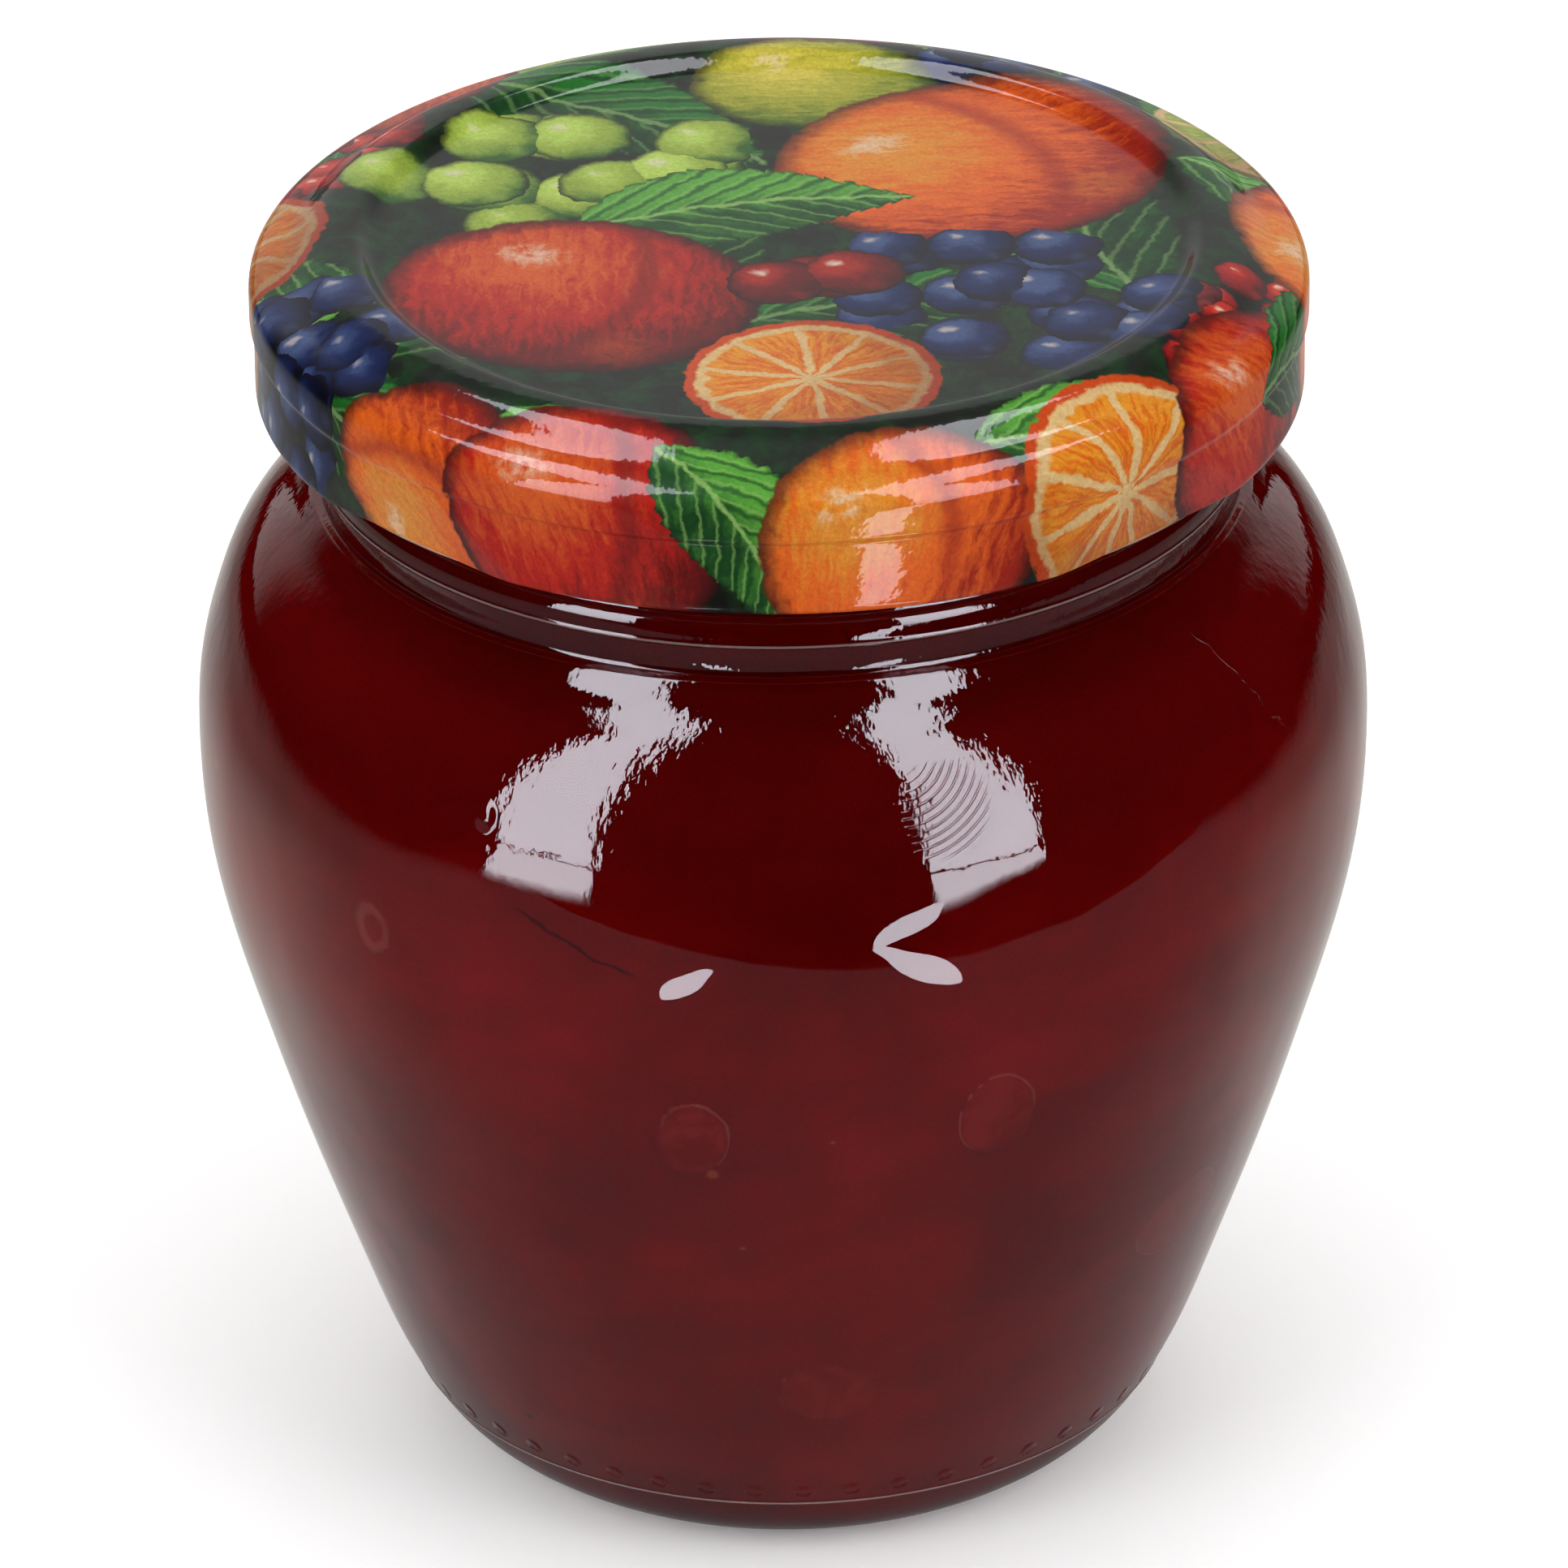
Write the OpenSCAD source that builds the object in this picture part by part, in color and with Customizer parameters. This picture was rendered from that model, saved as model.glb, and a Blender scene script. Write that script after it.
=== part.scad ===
// Jam pot: an amphora-shaped glass jar of jam with a four-lug twist-off lid.
// The origin is the middle of the foot's resting plane, and +Z is up. The jar's axis is the Z axis.
// All lengths are in millimetres and all angles in degrees.

/* [Jar body] */
// Widest diameter of the glass, at the belly
belly_d = 82.2; // [76:0.2:90]
// Height of the shoulder, from the belly's widest ring up to the groove below the neck
shoulder_h = 18.3; // [15:0.1:24]
// Diameter at which the heel's curve leaves the table
foot_d = 42.8; // [36:0.2:50]
// Thickness of the glass wall
glass_t = 2.4; // [1.8:0.1:3]
// Thickness of the glass floor at its edge
floor_t = 4.2; // [3:0.1:6]
// Width of the flat ring that the jar stands on
rest_w = 2.2; // [1.6:0.1:3]
// Rise of the hollow under the floor
pushup_h = 1.6; // [0.8:0.1:2.6]

/* [Jar neck] */
// Overall height of the glass, to the top of the rim
jar_h = 90.3; // [89:0.1:94]
// Diameter of the groove between shoulder and neck
neck_root_d = 63.6; // [62:0.1:64.4]
// Thickness of the glass at the groove
neck_wall = 2.3; // [2:0.1:2.6]
// Height of the parting line above the groove
bead_rise = 2.8; // [2:0.1:3]
// Height of the bead's rounded top above the parting line
bead_top_h = 2.4; // [1.8:0.1:2.6]
// Diameter of the wall that carries the threads
finish_d = 65.4; // [65:0.1:65.8]
// Height of that wall, from its lower end to the top of the rim
finish_h = 10.6; // [10:0.1:11.4]
// Diameter of the neck bead at its parting line
bead_d = 65; // [64.6:0.1:65.8]
// Diameter of the waist between bead and finish
waist_d = 63.8; // [63:0.1:64.4]
// Diameter of the mouth's bore
bore_d = 59; // [57:0.1:59.6]
// Outer radius of the rim's rounded edge
rim_round_out = 1.3; // [1:0.1:1.5]
// Inner radius of the rim's rounded edge
rim_round_in = 1; // [0.7:0.1:1.2]

/* [Thread] */
// Diameter over the thread ridges
thread_d = 68.4; // [68:0.1:68.8]
// Rise of the lid in one whole turn
thread_lead = 12.7; // [12.4:0.1:13]
// Angle that one ridge covers
ridge_arc = 72; // [64:1:72]
// Height of a ridge where it leaves the wall
ridge_root_h = 1.5; // [1.2:0.05:1.5]
// Height of a ridge at its crest
ridge_crest_h = 0.7; // [0.5:0.05:0.9]
// Gap between a lug and the ridge above it
thread_gap = 0.1; // [0.08:0.01:0.14]

/* [Lid] */
// Outer diameter of the lid at its crown
lid_d = 73.6; // [73.4:0.1:75]
// Height of the lid
lid_h = 11.4; // [11.2:0.1:11.6]
// Thickness of the tinplate
tin_t = 0.22; // [0.18:0.01:0.26]
// Diameter of the flat panel in the middle of the lid
panel_d = 55.8; // [50:0.2:56.4]
// Diameter of the crest ring at its inner edge
crest_d = 59.4; // [59:0.1:60]
// Depth of the panel below the crest around it
panel_drop = 0.9; // [0.5:0.05:1.2]
// Step from the crown in to the skirt below it
skirt_step = 0.3; // [0.15:0.05:0.4]
// Width of the rolled hem at the skirt's lower edge
hem_w = 1.7; // [1.5:0.05:1.8]
// Height of the rolled hem
hem_h = 1.4; // [1.2:0.05:1.6]

/* [Lugs] */
// Number of lugs, which is also the number of thread starts
lug_count = 4; // [3:1:4]
// Direction of the first lug from the X axis
lug_azimuth = 45; // [0:5:85]
// Diameter across the lug tips
lug_tip_d = 66.8; // [66.4:0.1:67.2]
// Angle that one lug covers
lug_arc = 14; // [10:1:14]
// Height of a lug
lug_h = 1; // [0.9:0.05:1.05]
// Height of a lug's top above the lid's lower edge
lug_top_h = 1.5; // [1.45:0.05:1.6]
// Depth of the flat pressed into the skirt at each lug
flat_depth = 1.4; // [0.8:0.1:1.5]
// Height of that flat above the lid's lower edge
flat_h = 5.2; // [4:0.1:5.6]

/* [Seal and contents] */
// Thickness of the sealing compound over the rim
seal_t = 1.15; // [0.9:0.05:1.4]
// Depth to which the compound hangs beside the rim
seal_hang = 0.7; // [0.4:0.05:1]
// Running gap between the compound and the tinplate or the rim
seal_gap = 0.12; // [0.1:0.01:0.16]
// Depth of the jam's surface below the rim
headspace = 6.3; // [5.5:0.1:9]
// Height that the jam climbs at the glass
meniscus_h = 0.8; // [0.4:0.1:1.2]
// Gap between the jam and the glass
jam_gap = 0.1; // [0.05:0.01:0.15]
// Gap between a piece of fruit and the jam around it
fruit_gap = 0.05; // [0.04:0.01:0.1]
// Radius of the largest piece of fruit
fruit_r = 6; // [4:0.1:7]

/* [Hidden] */
$fn = 96;

// Steps in one rounded stretch of an outline, and in one whole turn of a helix
curve_steps = 8;
helix_steps = 120;
// Handle of a rounded stretch, as a share of its chord
handle_share = 0.39;
// Overrun of every cut past the face that it opens
over = 1;
// Angle below which a stretch counts as straight
straight_deg = 0.01;

// Radii of the glass
belly_r = belly_d / 2;
foot_r = foot_d / 2;
neck_root_r = neck_root_d / 2;
finish_r = finish_d / 2;
bead_r = bead_d / 2;
waist_r = waist_d / 2;
bore_r = bore_d / 2;
thread_r = thread_d / 2;

// Radii of the lid. The skirt lies one step inside the crown and carries the hem on its inside.
crown_r = lid_d / 2;
skirt_r = crown_r - skirt_step;
hem_in_r = skirt_r - hem_w;
lug_tip_r = lug_tip_d / 2;
crest_r = crest_d / 2;
panel_r = panel_d / 2;

// Heights of the neck and shoulder, worked out from the rim down. The waist is a short upright band
// that then flares out to the finish.
waist_h = 0.6;
waist_flare_h = 0.8;
finish_z = jar_h - finish_h;
bead_top_z = finish_z - waist_flare_h - waist_h;
bead_z = bead_top_z - bead_top_h;
shoulder_z = bead_z - bead_rise;
belly_z = shoulder_z - shoulder_h;
bead_round = bead_top_h / 2;

// The outline of the body is a chain of stations, each [radius, height, heading]. A heading is the
// direction of travel, 0 straight up, 90 outward and 180 straight down.
// Flank: radius from foot to belly and height from table to belly as shares, then the heading
flank_shares = [[0, 0, 60], [0.284, 0.097, 29], [0.482, 0.265, 19.5], [0.782, 0.588, 16.5], [1, 1, 0]];
// Shoulder: radius from groove to belly and height from belly to groove as shares, then the heading
shoulder_shares = [[0.86, 0.481, -17], [0.559, 0.792, -38], [0, 1, -66]];
// The seam that the mould leaves round the heel lies at this station
heel_station = 1;

body_stations = concat(
    [for (s = flank_shares) [foot_r + s[0] * (belly_r - foot_r), s[1] * belly_z, s[2]]],
    [for (s = shoulder_shares)
        [neck_root_r + s[0] * (belly_r - neck_root_r), belly_z + s[1] * (shoulder_z - belly_z), s[2]]]);

// A fine seam left by the mould, at the heel and at the neck's parting line
seam_w = 0.5;
seam_proud = 0.08;

// Inside of the jar
floor_edge_share = 0.82;
floor_dome_h = 0.7;
floor_heading = 80;
bore_end_z = shoulder_z + glass_t / 2;

// Lid heights, worked out from the rim up
crown_z = jar_h + seal_t + 2 * seal_gap + tin_t;
lid_low_z = crown_z - lid_h;
hem_round = hem_h * 0.4;

// Crown outline: radius from crest to crown and drop from crest to the crown's corner, as shares
corner_drop = 3.6;
crown_shares = [[0.22, 0.03, 98], [0.61, 0.42, 117], [0.74, 0.49, 104], [1, 1, 180]];
// The crown's upright band ends at this share of the lid's height, and the step takes the next
crown_end_share = 0.49;
step_share = 0.04;

lid_stations = concat(
    [[panel_r, crown_z - panel_drop, 90], [crest_r, crown_z, 90]],
    [for (s = crown_shares) [crest_r + s[0] * (crown_r - crest_r), crown_z - s[1] * corner_drop, s[2]]],
    [[crown_r, crown_z - crown_end_share * lid_h, 180],
     [skirt_r, crown_z - (crown_end_share + step_share) * lid_h, 180]]);

// Thread heights: the underside of a ridge runs one thread_gap above the lug below it
lug_top_z = lid_low_z + lug_top_h;
ridge_low_z = lug_top_z + thread_gap;
// The lug lies this share of the ridge's arc from the ridge's lower end
lug_seat_share = 0.44;
// A ridge rises out of the wall over this share of its length at each end
ridge_fade_share = 0.14;
fade_floor_share = 0.15;
// Depth to which ridges and lugs are rooted in what carries them
root_depth = 0.4;
// Slope of a lug's and a ridge's bearing face, as a drop over its depth
bearing_drop = 0.15;

// Jam and fruit
jam_z = jar_h - headspace;
meniscus_w = 1.6;
// Each piece of fruit: azimuth, height from floor to shoulder as a share, size as a share of fruit_r
fruit_shares = [
    [-102, 0.55, 0.9], [-68, 0.56, 0.85], [-84, 0.2, 0.8], [-35, 0.32, 0.95], [-8, 0.66, 0.8],
    [25, 0.24, 0.9], [48, 0.52, 1], [80, 0.35, 0.85], [108, 0.68, 0.9], [140, 0.3, 1],
    [172, 0.58, 0.85], [-150, 0.25, 0.9], [-138, 0.7, 0.8]];
// A piece is pressed against the glass by this share of its radius
fruit_press_share = 0.3;

// Outline helpers

// Unit vector along a heading
function along(heading) = [sin(heading), cos(heading)];

// A station moved to the right of its heading, which is outward on the way up and inward on the way down
function shifted(s, by) = [s[0] + by * cos(s[2]), s[1] - by * sin(s[2]), s[2]];

// Heading of the chord between two stations
function chord_heading(a, b) = atan2(b[0] - a[0], b[1] - a[1]);

// True where two stations and the chord between them all head the same way
function is_straight(a, b) =
    abs(sin(chord_heading(a, b) - a[2])) < sin(straight_deg) && abs(a[2] - b[2]) < straight_deg;

// Point at share t of the cubic curve through two stations, leaving and arriving along their headings
function on_curve(a, b, t) =
    let (p = [a[0], a[1]], s = [b[0], b[1]], reach = norm(s - p) * handle_share,
         q = p + reach * along(a[2]), r = s - reach * along(b[2]), u = 1 - t)
    u * u * u * p + 3 * u * u * t * q + 3 * u * t * t * r + t * t * t * s;

// Smooth outline through a chain of stations
function curve(stations) = concat(
    [for (i = [0 : len(stations) - 2], n = is_straight(stations[i], stations[i + 1]) ? 1 : curve_steps,
          k = [0 : n - 1]) on_curve(stations[i], stations[i + 1], k / n)],
    [[stations[len(stations) - 1][0], stations[len(stations) - 1][1]]]);

// Points of an arc about a centre, from one angle to another
function arc(centre, r, from, to) =
    [for (k = [0 : curve_steps]) let (a = from + (to - from) * k / curve_steps)
        centre + r * [cos(a), sin(a)]];

// Dome from the axis out to a radius, with its height measured from the edge
function dome(edge_r, edge_z, rise) =
    [for (k = [0 : curve_steps]) let (s = k / curve_steps) [s * edge_r, edge_z + rise * (1 - s * s)]];

// Solid swept from a section of [radius, height] points along a rising helix. Near its ends the
// section shrinks towards root_r over the fade angle.
module helical_land(section, root_r, from, to, fade) {
    steps = ceil((to - from) * helix_steps / 360);
    n = len(section);
    function swell(a) = min(1, max(fade_floor_share, min(a - from, to - a) / fade));
    points = [for (i = [0 : steps], p = section)
        let (a = from + (to - from) * i / steps, r = root_r + (p[0] - root_r) * swell(a))
        [r * cos(a), r * sin(a), p[1] + thread_lead * a / 360]];
    sides = [for (i = [0 : steps - 1], k = [0 : n - 1])
        let (a = i * n + k, b = i * n + (k + 1) % n)
        each [[a, b, a + n], [b, b + n, a + n]]];
    caps = [[for (k = [n - 1 : -1 : 0]) k], [for (k = [0 : n - 1]) steps * n + k]];
    polyhedron(points, concat(sides, caps));
}

// Ridge and upper edge of the fine seam that starts at a station
function mould_seam(s) = [
    [s[0], s[1]] + along(s[2]) * seam_w / 2 + along(s[2] + 90) * seam_proud,
    [s[0], s[1]] + along(s[2]) * seam_w];

// Outline of the finish and rim, grown by a gap
function finish_outline(gap) = concat(
    [[finish_r + gap, finish_z]],
    arc([finish_r - rim_round_out, jar_h - rim_round_out], rim_round_out + gap, 0, 90),
    arc([bore_r + rim_round_in, jar_h - rim_round_in], rim_round_in + gap, 90, 180),
    [[bore_r - gap, finish_z]]);

// Outside of the body from the table up to the groove, with the seam round the heel
body_outline =
    let (flank = [for (i = [heel_station : len(body_stations) - 1]) body_stations[i]], rest = curve(flank))
    concat(
        curve([for (i = [0 : heel_station]) body_stations[i]]),
        mould_seam(body_stations[heel_station]),
        [for (i = [1 : len(rest) - 1]) rest[i]]);

// Outside of the neck from the groove up to the finish, with the seam at its parting line
neck_outline = concat(
    [[bead_r, bead_z]], mould_seam([bead_r, bead_z, 0]),
    arc([bead_r - bead_round, bead_top_z - bead_round], bead_round, 0, 60),
    [[waist_r, bead_top_z], [waist_r, bead_top_z + waist_h]]);

// Inside of the glass or of a shell one gap inside it, from the floor's edge up to the bore's end
function inner_stations(gap) = concat(
    [[foot_r * floor_edge_share - gap, floor_t + gap, floor_heading]],
    [for (i = [heel_station : len(body_stations) - 2]) shifted(body_stations[i], -glass_t - gap)],
    [[neck_root_r - neck_wall - gap, bore_end_z, 0]]);

// Inside of the glass or of such a shell, from the axis up through the bore
function cavity_outline(gap, top_z) = concat(
    dome(foot_r * floor_edge_share - gap, floor_t + gap, floor_dome_h),
    curve(inner_stations(gap)),
    [[bore_r - gap, bead_z], [bore_r - gap, top_z]]);

// Jar
module glass_jar() {
    rest_in_r = foot_r - rest_w;
    color([0.86, 0.93, 0.9, 0.35]) {
        difference() {
            rotate_extrude() polygon(concat(
                [[0, 0]],
                body_outline, neck_outline, finish_outline(0),
                [[0, finish_z]]));
            rotate_extrude() polygon(concat([[0, floor_t]],
                cavity_outline(0, jar_h - rim_round_in), [[0, jar_h - rim_round_in]]));
            rotate_extrude() polygon(concat([[0, -over], [0, 0]],
                dome(rest_in_r, 0, pushup_h), [[rest_in_r, -over]]));
        }
        thread_ridges();
    }
}

// Four ridges that rise counter-clockwise round the finish
module thread_ridges() {
    section = [
        [finish_r - root_depth, 0], [thread_r, bearing_drop],
        [thread_r, bearing_drop + ridge_crest_h], [finish_r - root_depth, ridge_root_h]];
    for (k = [0 : lug_count - 1])
        rotate([0, 0, lug_azimuth + k * 360 / lug_count]) translate([0, 0, ridge_low_z - bearing_drop])
            helical_land(section, finish_r - root_depth, -lug_seat_share * ridge_arc,
                (1 - lug_seat_share) * ridge_arc, ridge_fade_share * ridge_arc);
}

// Jam, with a pocket for each piece of fruit
module jam() {
    color([0.29, 0.01, 0.02]) difference() {
        jam_form(jam_gap);
        fruit_balls(fruit_gap);
    }
}

// Solid that fills the jar to the jam's surface, one gap inside the glass
module jam_form(gap) {
    rotate_extrude() polygon(concat(
        [[0, floor_t]],
        cavity_outline(gap, jam_z + meniscus_h),
        [for (k = [0 : curve_steps]) let (s = k / curve_steps)
            [bore_r - gap - s * meniscus_w, jam_z + meniscus_h * pow(1 - s, 2)]],
        [[0, jam_z]]));
}

// Radius of the glass's inside at a height
function inside_r(z) = lookup(z, [for (p = curve(inner_stations(0))) [p[1], p[0]]]);

// Ball of each piece of fruit, grown by a gap
module fruit_balls(gap) {
    for (f = fruit_shares) {
        size = f[2] * fruit_r;
        z = floor_t + f[1] * (shoulder_z - floor_t);
        rotate([0, 0, f[0]])
            translate([inside_r(z) - (1 - fruit_press_share) * size, 0, z]) sphere(size + gap);
    }
}

// Pieces of fruit, each flattened where it lies against the glass
module fruit_pieces() {
    color([0.45, 0.04, 0.03]) intersection() {
        jam_form(jam_gap);
        fruit_balls(0);
    }
}

// Solid of revolution under the lid's top surface, one depth below it, closed by a foot of points
// that leads from the skirt down and in to the axis
module lid_form(depth, foot) {
    stations = [for (s = lid_stations) shifted(s, depth)];
    rotate_extrude() polygon(concat([[0, crown_z - panel_drop - depth]], curve(stations), foot));
}

// Rounded underside of the hem, from the skirt in to the axis
hem_foot = concat(
    arc([skirt_r - hem_round, lid_low_z + hem_round], hem_round, 0, -90),
    [[0, lid_low_z]]);

// Inside of the hem: over its rounded top, down its mouth and out at its rounded underside
hem_mouth = concat(
    [[skirt_r - tin_t, lid_low_z + hem_h]],
    arc([hem_in_r + hem_round, lid_low_z + hem_h - hem_round], hem_round, 90, 180),
    arc([hem_in_r + hem_round, lid_low_z + hem_round], hem_round, 180, 270),
    [[hem_in_r + hem_round, lid_low_z - over], [0, lid_low_z - over]]);

// Slanted blocks that cut the flats at the lugs, one depth inside the skirt's surface
module lug_flats(depth) {
    tilt = atan(flat_depth / flat_h);
    block = flat_h * 2;
    for (k = [0 : lug_count - 1])
        rotate([0, 0, lug_azimuth + k * 360 / lug_count])
            translate([skirt_r - flat_depth - depth / cos(tilt), 0, lid_low_z])
                rotate([0, tilt, 0])
                    translate([0, -crown_r / 2, -over * 2]) cube([block, crown_r, block]);
}

// Tinplate shell with its rolled hem, pressed flat at each lug
module lid() {
    color([0.75, 0.16, 0.1]) {
        difference() {
            lid_form(0, hem_foot);
            difference() {
                lid_form(tin_t, hem_mouth);
                lug_flats(tin_t);
            }
            lug_flats(0);
        }
        difference() {
            lugs();
            lug_flats(tin_t);
        }
    }
}

// Lugs pressed inward out of the hem, each lying under its ridge
module lugs() {
    section = [
        [hem_in_r + root_depth, -lug_h], [hem_in_r + root_depth, bearing_drop],
        [lug_tip_r, 0], [lug_tip_r, -lug_h + bearing_drop]];
    for (k = [0 : lug_count - 1])
        rotate([0, 0, lug_azimuth + k * 360 / lug_count]) translate([0, 0, lug_top_z - bearing_drop])
            helical_land(section, hem_in_r + root_depth, -lug_arc / 2, lug_arc / 2, lug_arc / 4);
}

// Ring of sealing compound in the lid's channel, with the rim's print in it
module sealing_ring() {
    seal_in_r = bore_r + rim_round_in / 2;
    seal_low_z = jar_h - seal_hang;
    color([0.82, 0.8, 0.74]) difference() {
        intersection() {
            lid_form(tin_t + seal_gap, [[skirt_r, seal_low_z - over], [0, seal_low_z - over]]);
            rotate_extrude() polygon([[seal_in_r, seal_low_z], [crown_r, seal_low_z],
                                      [crown_r, crown_z], [seal_in_r, crown_z]]);
        }
        rotate_extrude() polygon(finish_outline(seal_gap));
    }
}

glass_jar();
jam();
fruit_pieces();
lid();
sealing_ring();
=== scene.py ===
"""Looks of the jam pot: glass jar, jam, fruit and a printed twist-off lid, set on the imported
frame."""

import math
from types import SimpleNamespace

import bpy
import numpy as np
from bpy.props import FloatProperty, FloatVectorProperty, IntProperty, PointerProperty
from mathutils import Euler, Matrix, Vector


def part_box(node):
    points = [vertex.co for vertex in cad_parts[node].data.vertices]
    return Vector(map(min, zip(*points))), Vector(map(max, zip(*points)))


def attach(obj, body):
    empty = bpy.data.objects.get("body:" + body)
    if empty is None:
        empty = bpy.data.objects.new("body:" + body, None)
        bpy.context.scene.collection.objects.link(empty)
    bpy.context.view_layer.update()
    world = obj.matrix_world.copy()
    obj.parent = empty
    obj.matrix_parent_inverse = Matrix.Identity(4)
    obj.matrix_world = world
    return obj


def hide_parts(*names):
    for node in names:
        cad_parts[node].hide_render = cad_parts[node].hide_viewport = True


bl_info = {
    "name": "Jam Pot",
    "version": (1, 0, 0),
    "blender": (4, 5, 0),
    "location": "View3D > Sidebar > Jam Pot",
    "description": "Builds a glass jam pot with its fill and its printed twist-off lid",
    "category": "Object",
}

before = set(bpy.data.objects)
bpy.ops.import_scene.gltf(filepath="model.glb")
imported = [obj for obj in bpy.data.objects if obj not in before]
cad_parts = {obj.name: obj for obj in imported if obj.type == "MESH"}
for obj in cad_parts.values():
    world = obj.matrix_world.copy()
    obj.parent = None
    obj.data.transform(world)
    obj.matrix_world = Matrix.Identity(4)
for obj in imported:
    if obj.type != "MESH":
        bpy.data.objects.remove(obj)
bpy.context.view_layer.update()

# Heights and widths that the frame already holds, in millimetres
JAR_LOW, JAR_HIGH = (np.array(v) * 1000 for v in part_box("glass_jar"))
LID_LOW, LID_HIGH = (np.array(v) * 1000 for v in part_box("lid"))


# Settings

def length(name, text, default):
    """A size in metres that shows in the panel with its unit."""
    return FloatProperty(
        name=name, description=text, default=default, min=0, unit="LENGTH", precision=5)


def step_count(text, default, least, most):
    """The number of steps round a piece."""
    return IntProperty(name="Columns", description=text, default=default, min=least, max=most)


def view_angle(name, text, degrees):
    """An angle that shows in the panel in degrees."""
    return FloatProperty(
        name=name, description=text, default=math.radians(degrees), subtype="ANGLE")


def tint(name, text, default):
    """A linear colour that shows in the panel as a swatch."""
    return FloatVectorProperty(
        name=name, description=text, default=default, size=3, min=0, max=1, subtype="COLOR")


class JamPotGlass(bpy.types.PropertyGroup):
    belly: length("Belly", "Widest diameter of the glass", (JAR_HIGH[0] - JAR_LOW[0]) / 1000)
    height: length("Height", "Height of the glass to the top of the rim", JAR_HIGH[2] / 1000)
    foot: length("Foot", "Diameter at which the heel's curve leaves the table", 0.0428)
    wall: length("Wall", "Thickness of the glass", 0.0024)
    floor: length("Floor", "Thickness of the glass floor at its edge", 0.0042)
    shoulder: length("Shoulder", "Height from the belly's widest ring to the groove", 0.0183)
    finish: length("Finish", "Diameter of the wall that carries the threads", 0.0654)
    finish_height: length("Finish height", "Height of that wall up to the rim", 0.0106)
    thread_rise: length("Thread rise", "Rise of the lid in one whole turn", 0.0127)
    columns: step_count("Steps round the glass", 256, 32, 400)
    colour: tint("Glass", "Colour of the clear glass", (0.965, 0.985, 0.975))


class JamPotFill(bpy.types.PropertyGroup):
    headspace: length("Headspace", "Depth of the jam's surface below the rim", 0.0063)
    meniscus: length("Meniscus", "Height that the jam climbs at the glass", 0.0008)
    wetting: length("Wetting", "Depth of jam inside the wall, so that no air shows there", 0.0003)
    fruit: length("Fruit", "Radius of the largest piece of fruit", 0.006)
    jam: tint("Jam", "Colour of the set jam", (0.046, 0.0002, 0.0003))
    # The pulp colour also paints the jam's lower half lighter, as painted light from the table
    # below
    pulp: tint("Pulp", "Colour of the pulp that clouds the jam", (0.180, 0.0022, 0.0020))
    flesh: tint("Fruit", "Colour of the soft fruit", (0.205, 0.010, 0.007))


class JamPotLid(bpy.types.PropertyGroup):
    height: length("Height", "Height of the lid", (LID_HIGH[2] - LID_LOW[2]) / 1000)
    width: length("Width", "Outer diameter at the crown", (LID_HIGH[0] - LID_LOW[0]) / 1000)
    tin: length("Tinplate", "Thickness of the tinplate", 0.00022)
    panel: length("Panel", "Diameter of the flat panel", 0.0558)
    panel_drop: length("Panel drop", "Depth of the panel below the crest", 0.0009)
    crest: length("Crest", "Diameter of the crest ring at its inner edge", 0.0594)
    flat_depth: length("Flat depth", "Depth of the flat pressed at each lug", 0.0014)
    columns: step_count("Steps round the lid", 360, 64, 480)
    red: tint("Red", "Red of the printed fruit", (0.56, 0.030, 0.010))
    orange: tint("Orange", "Orange of the printed fruit", (0.86, 0.22, 0.025))
    green: tint("Green", "Green of the printed leaves", (0.035, 0.25, 0.045))
    pale: tint("Pale green", "Pale green of the printed fruit", (0.42, 0.58, 0.12))
    blue: tint("Blue", "Blue of the printed berries", (0.022, 0.042, 0.15))
    ground: tint("Ground", "Dark ground between the fruit", (0.012, 0.016, 0.009))
    lacquer: tint("Lacquer", "Lacquered metal inside the lid", (0.70, 0.66, 0.56))


class JamPotStage(bpy.types.PropertyGroup):
    distance: length("Camera distance", "Distance from the camera to the middle of the pot", 1.06)
    aim: length("Aim height", "Height of the point in the middle of the view", 0.04845)
    elevation: view_angle("Elevation", "Angle of the camera above the table", 27.92)
    roll: view_angle("Roll", "Turn of the camera about its own axis", -0.57)
    scale: FloatProperty(
        name="Scale", default=17.45,
        description="Picture points to a millimetre at the pot's middle")
    floor: tint("Floor", "Colour of the table", (0.93, 0.93, 0.93))


# Outlines. An outline is an array of [radius, height] points in millimetres. A station is [radius,
# height, heading], and a heading is the direction of travel: 0 up, 90 outward and 180 down.

FLANK = np.array([
    [0, 0, 60], [0.284, 0.097, 29], [0.482, 0.265, 19.5], [0.782, 0.588, 16.5], [1, 1, 0]])
SHOULDER = np.array([[0.86, 0.481, -17], [0.559, 0.792, -38], [0, 1, -66]])
# The same with the broad sweep that leads up to a fine lip below the neck ring
SWEPT = np.array([
    [0.86, 0.481, -17], [0.559, 0.792, -38], [0.31, 0.916, -51], [0.19, 0.982, -30],
    [0.124, 1.028, -12]])
CROWN = np.array([[0.22, 0.03, 98], [0.61, 0.42, 117], [0.74, 0.49, 104], [1, 1, 180]])
HANDLE = 0.39


def heading_vector(heading):
    """Unit vector [sin, cos] of a heading in degrees."""
    a = np.radians(heading)
    return np.stack([np.sin(a), np.cos(a)], -1)


def moved_right(stations, by):
    """Stations moved to the right of their headings: [r + by cos h, z - by sin h, h]."""
    s = np.array(stations, float)
    a = np.radians(s[:, 2])
    s[:, 0] += by * np.cos(a)
    s[:, 1] -= by * np.sin(a)
    return s


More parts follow.
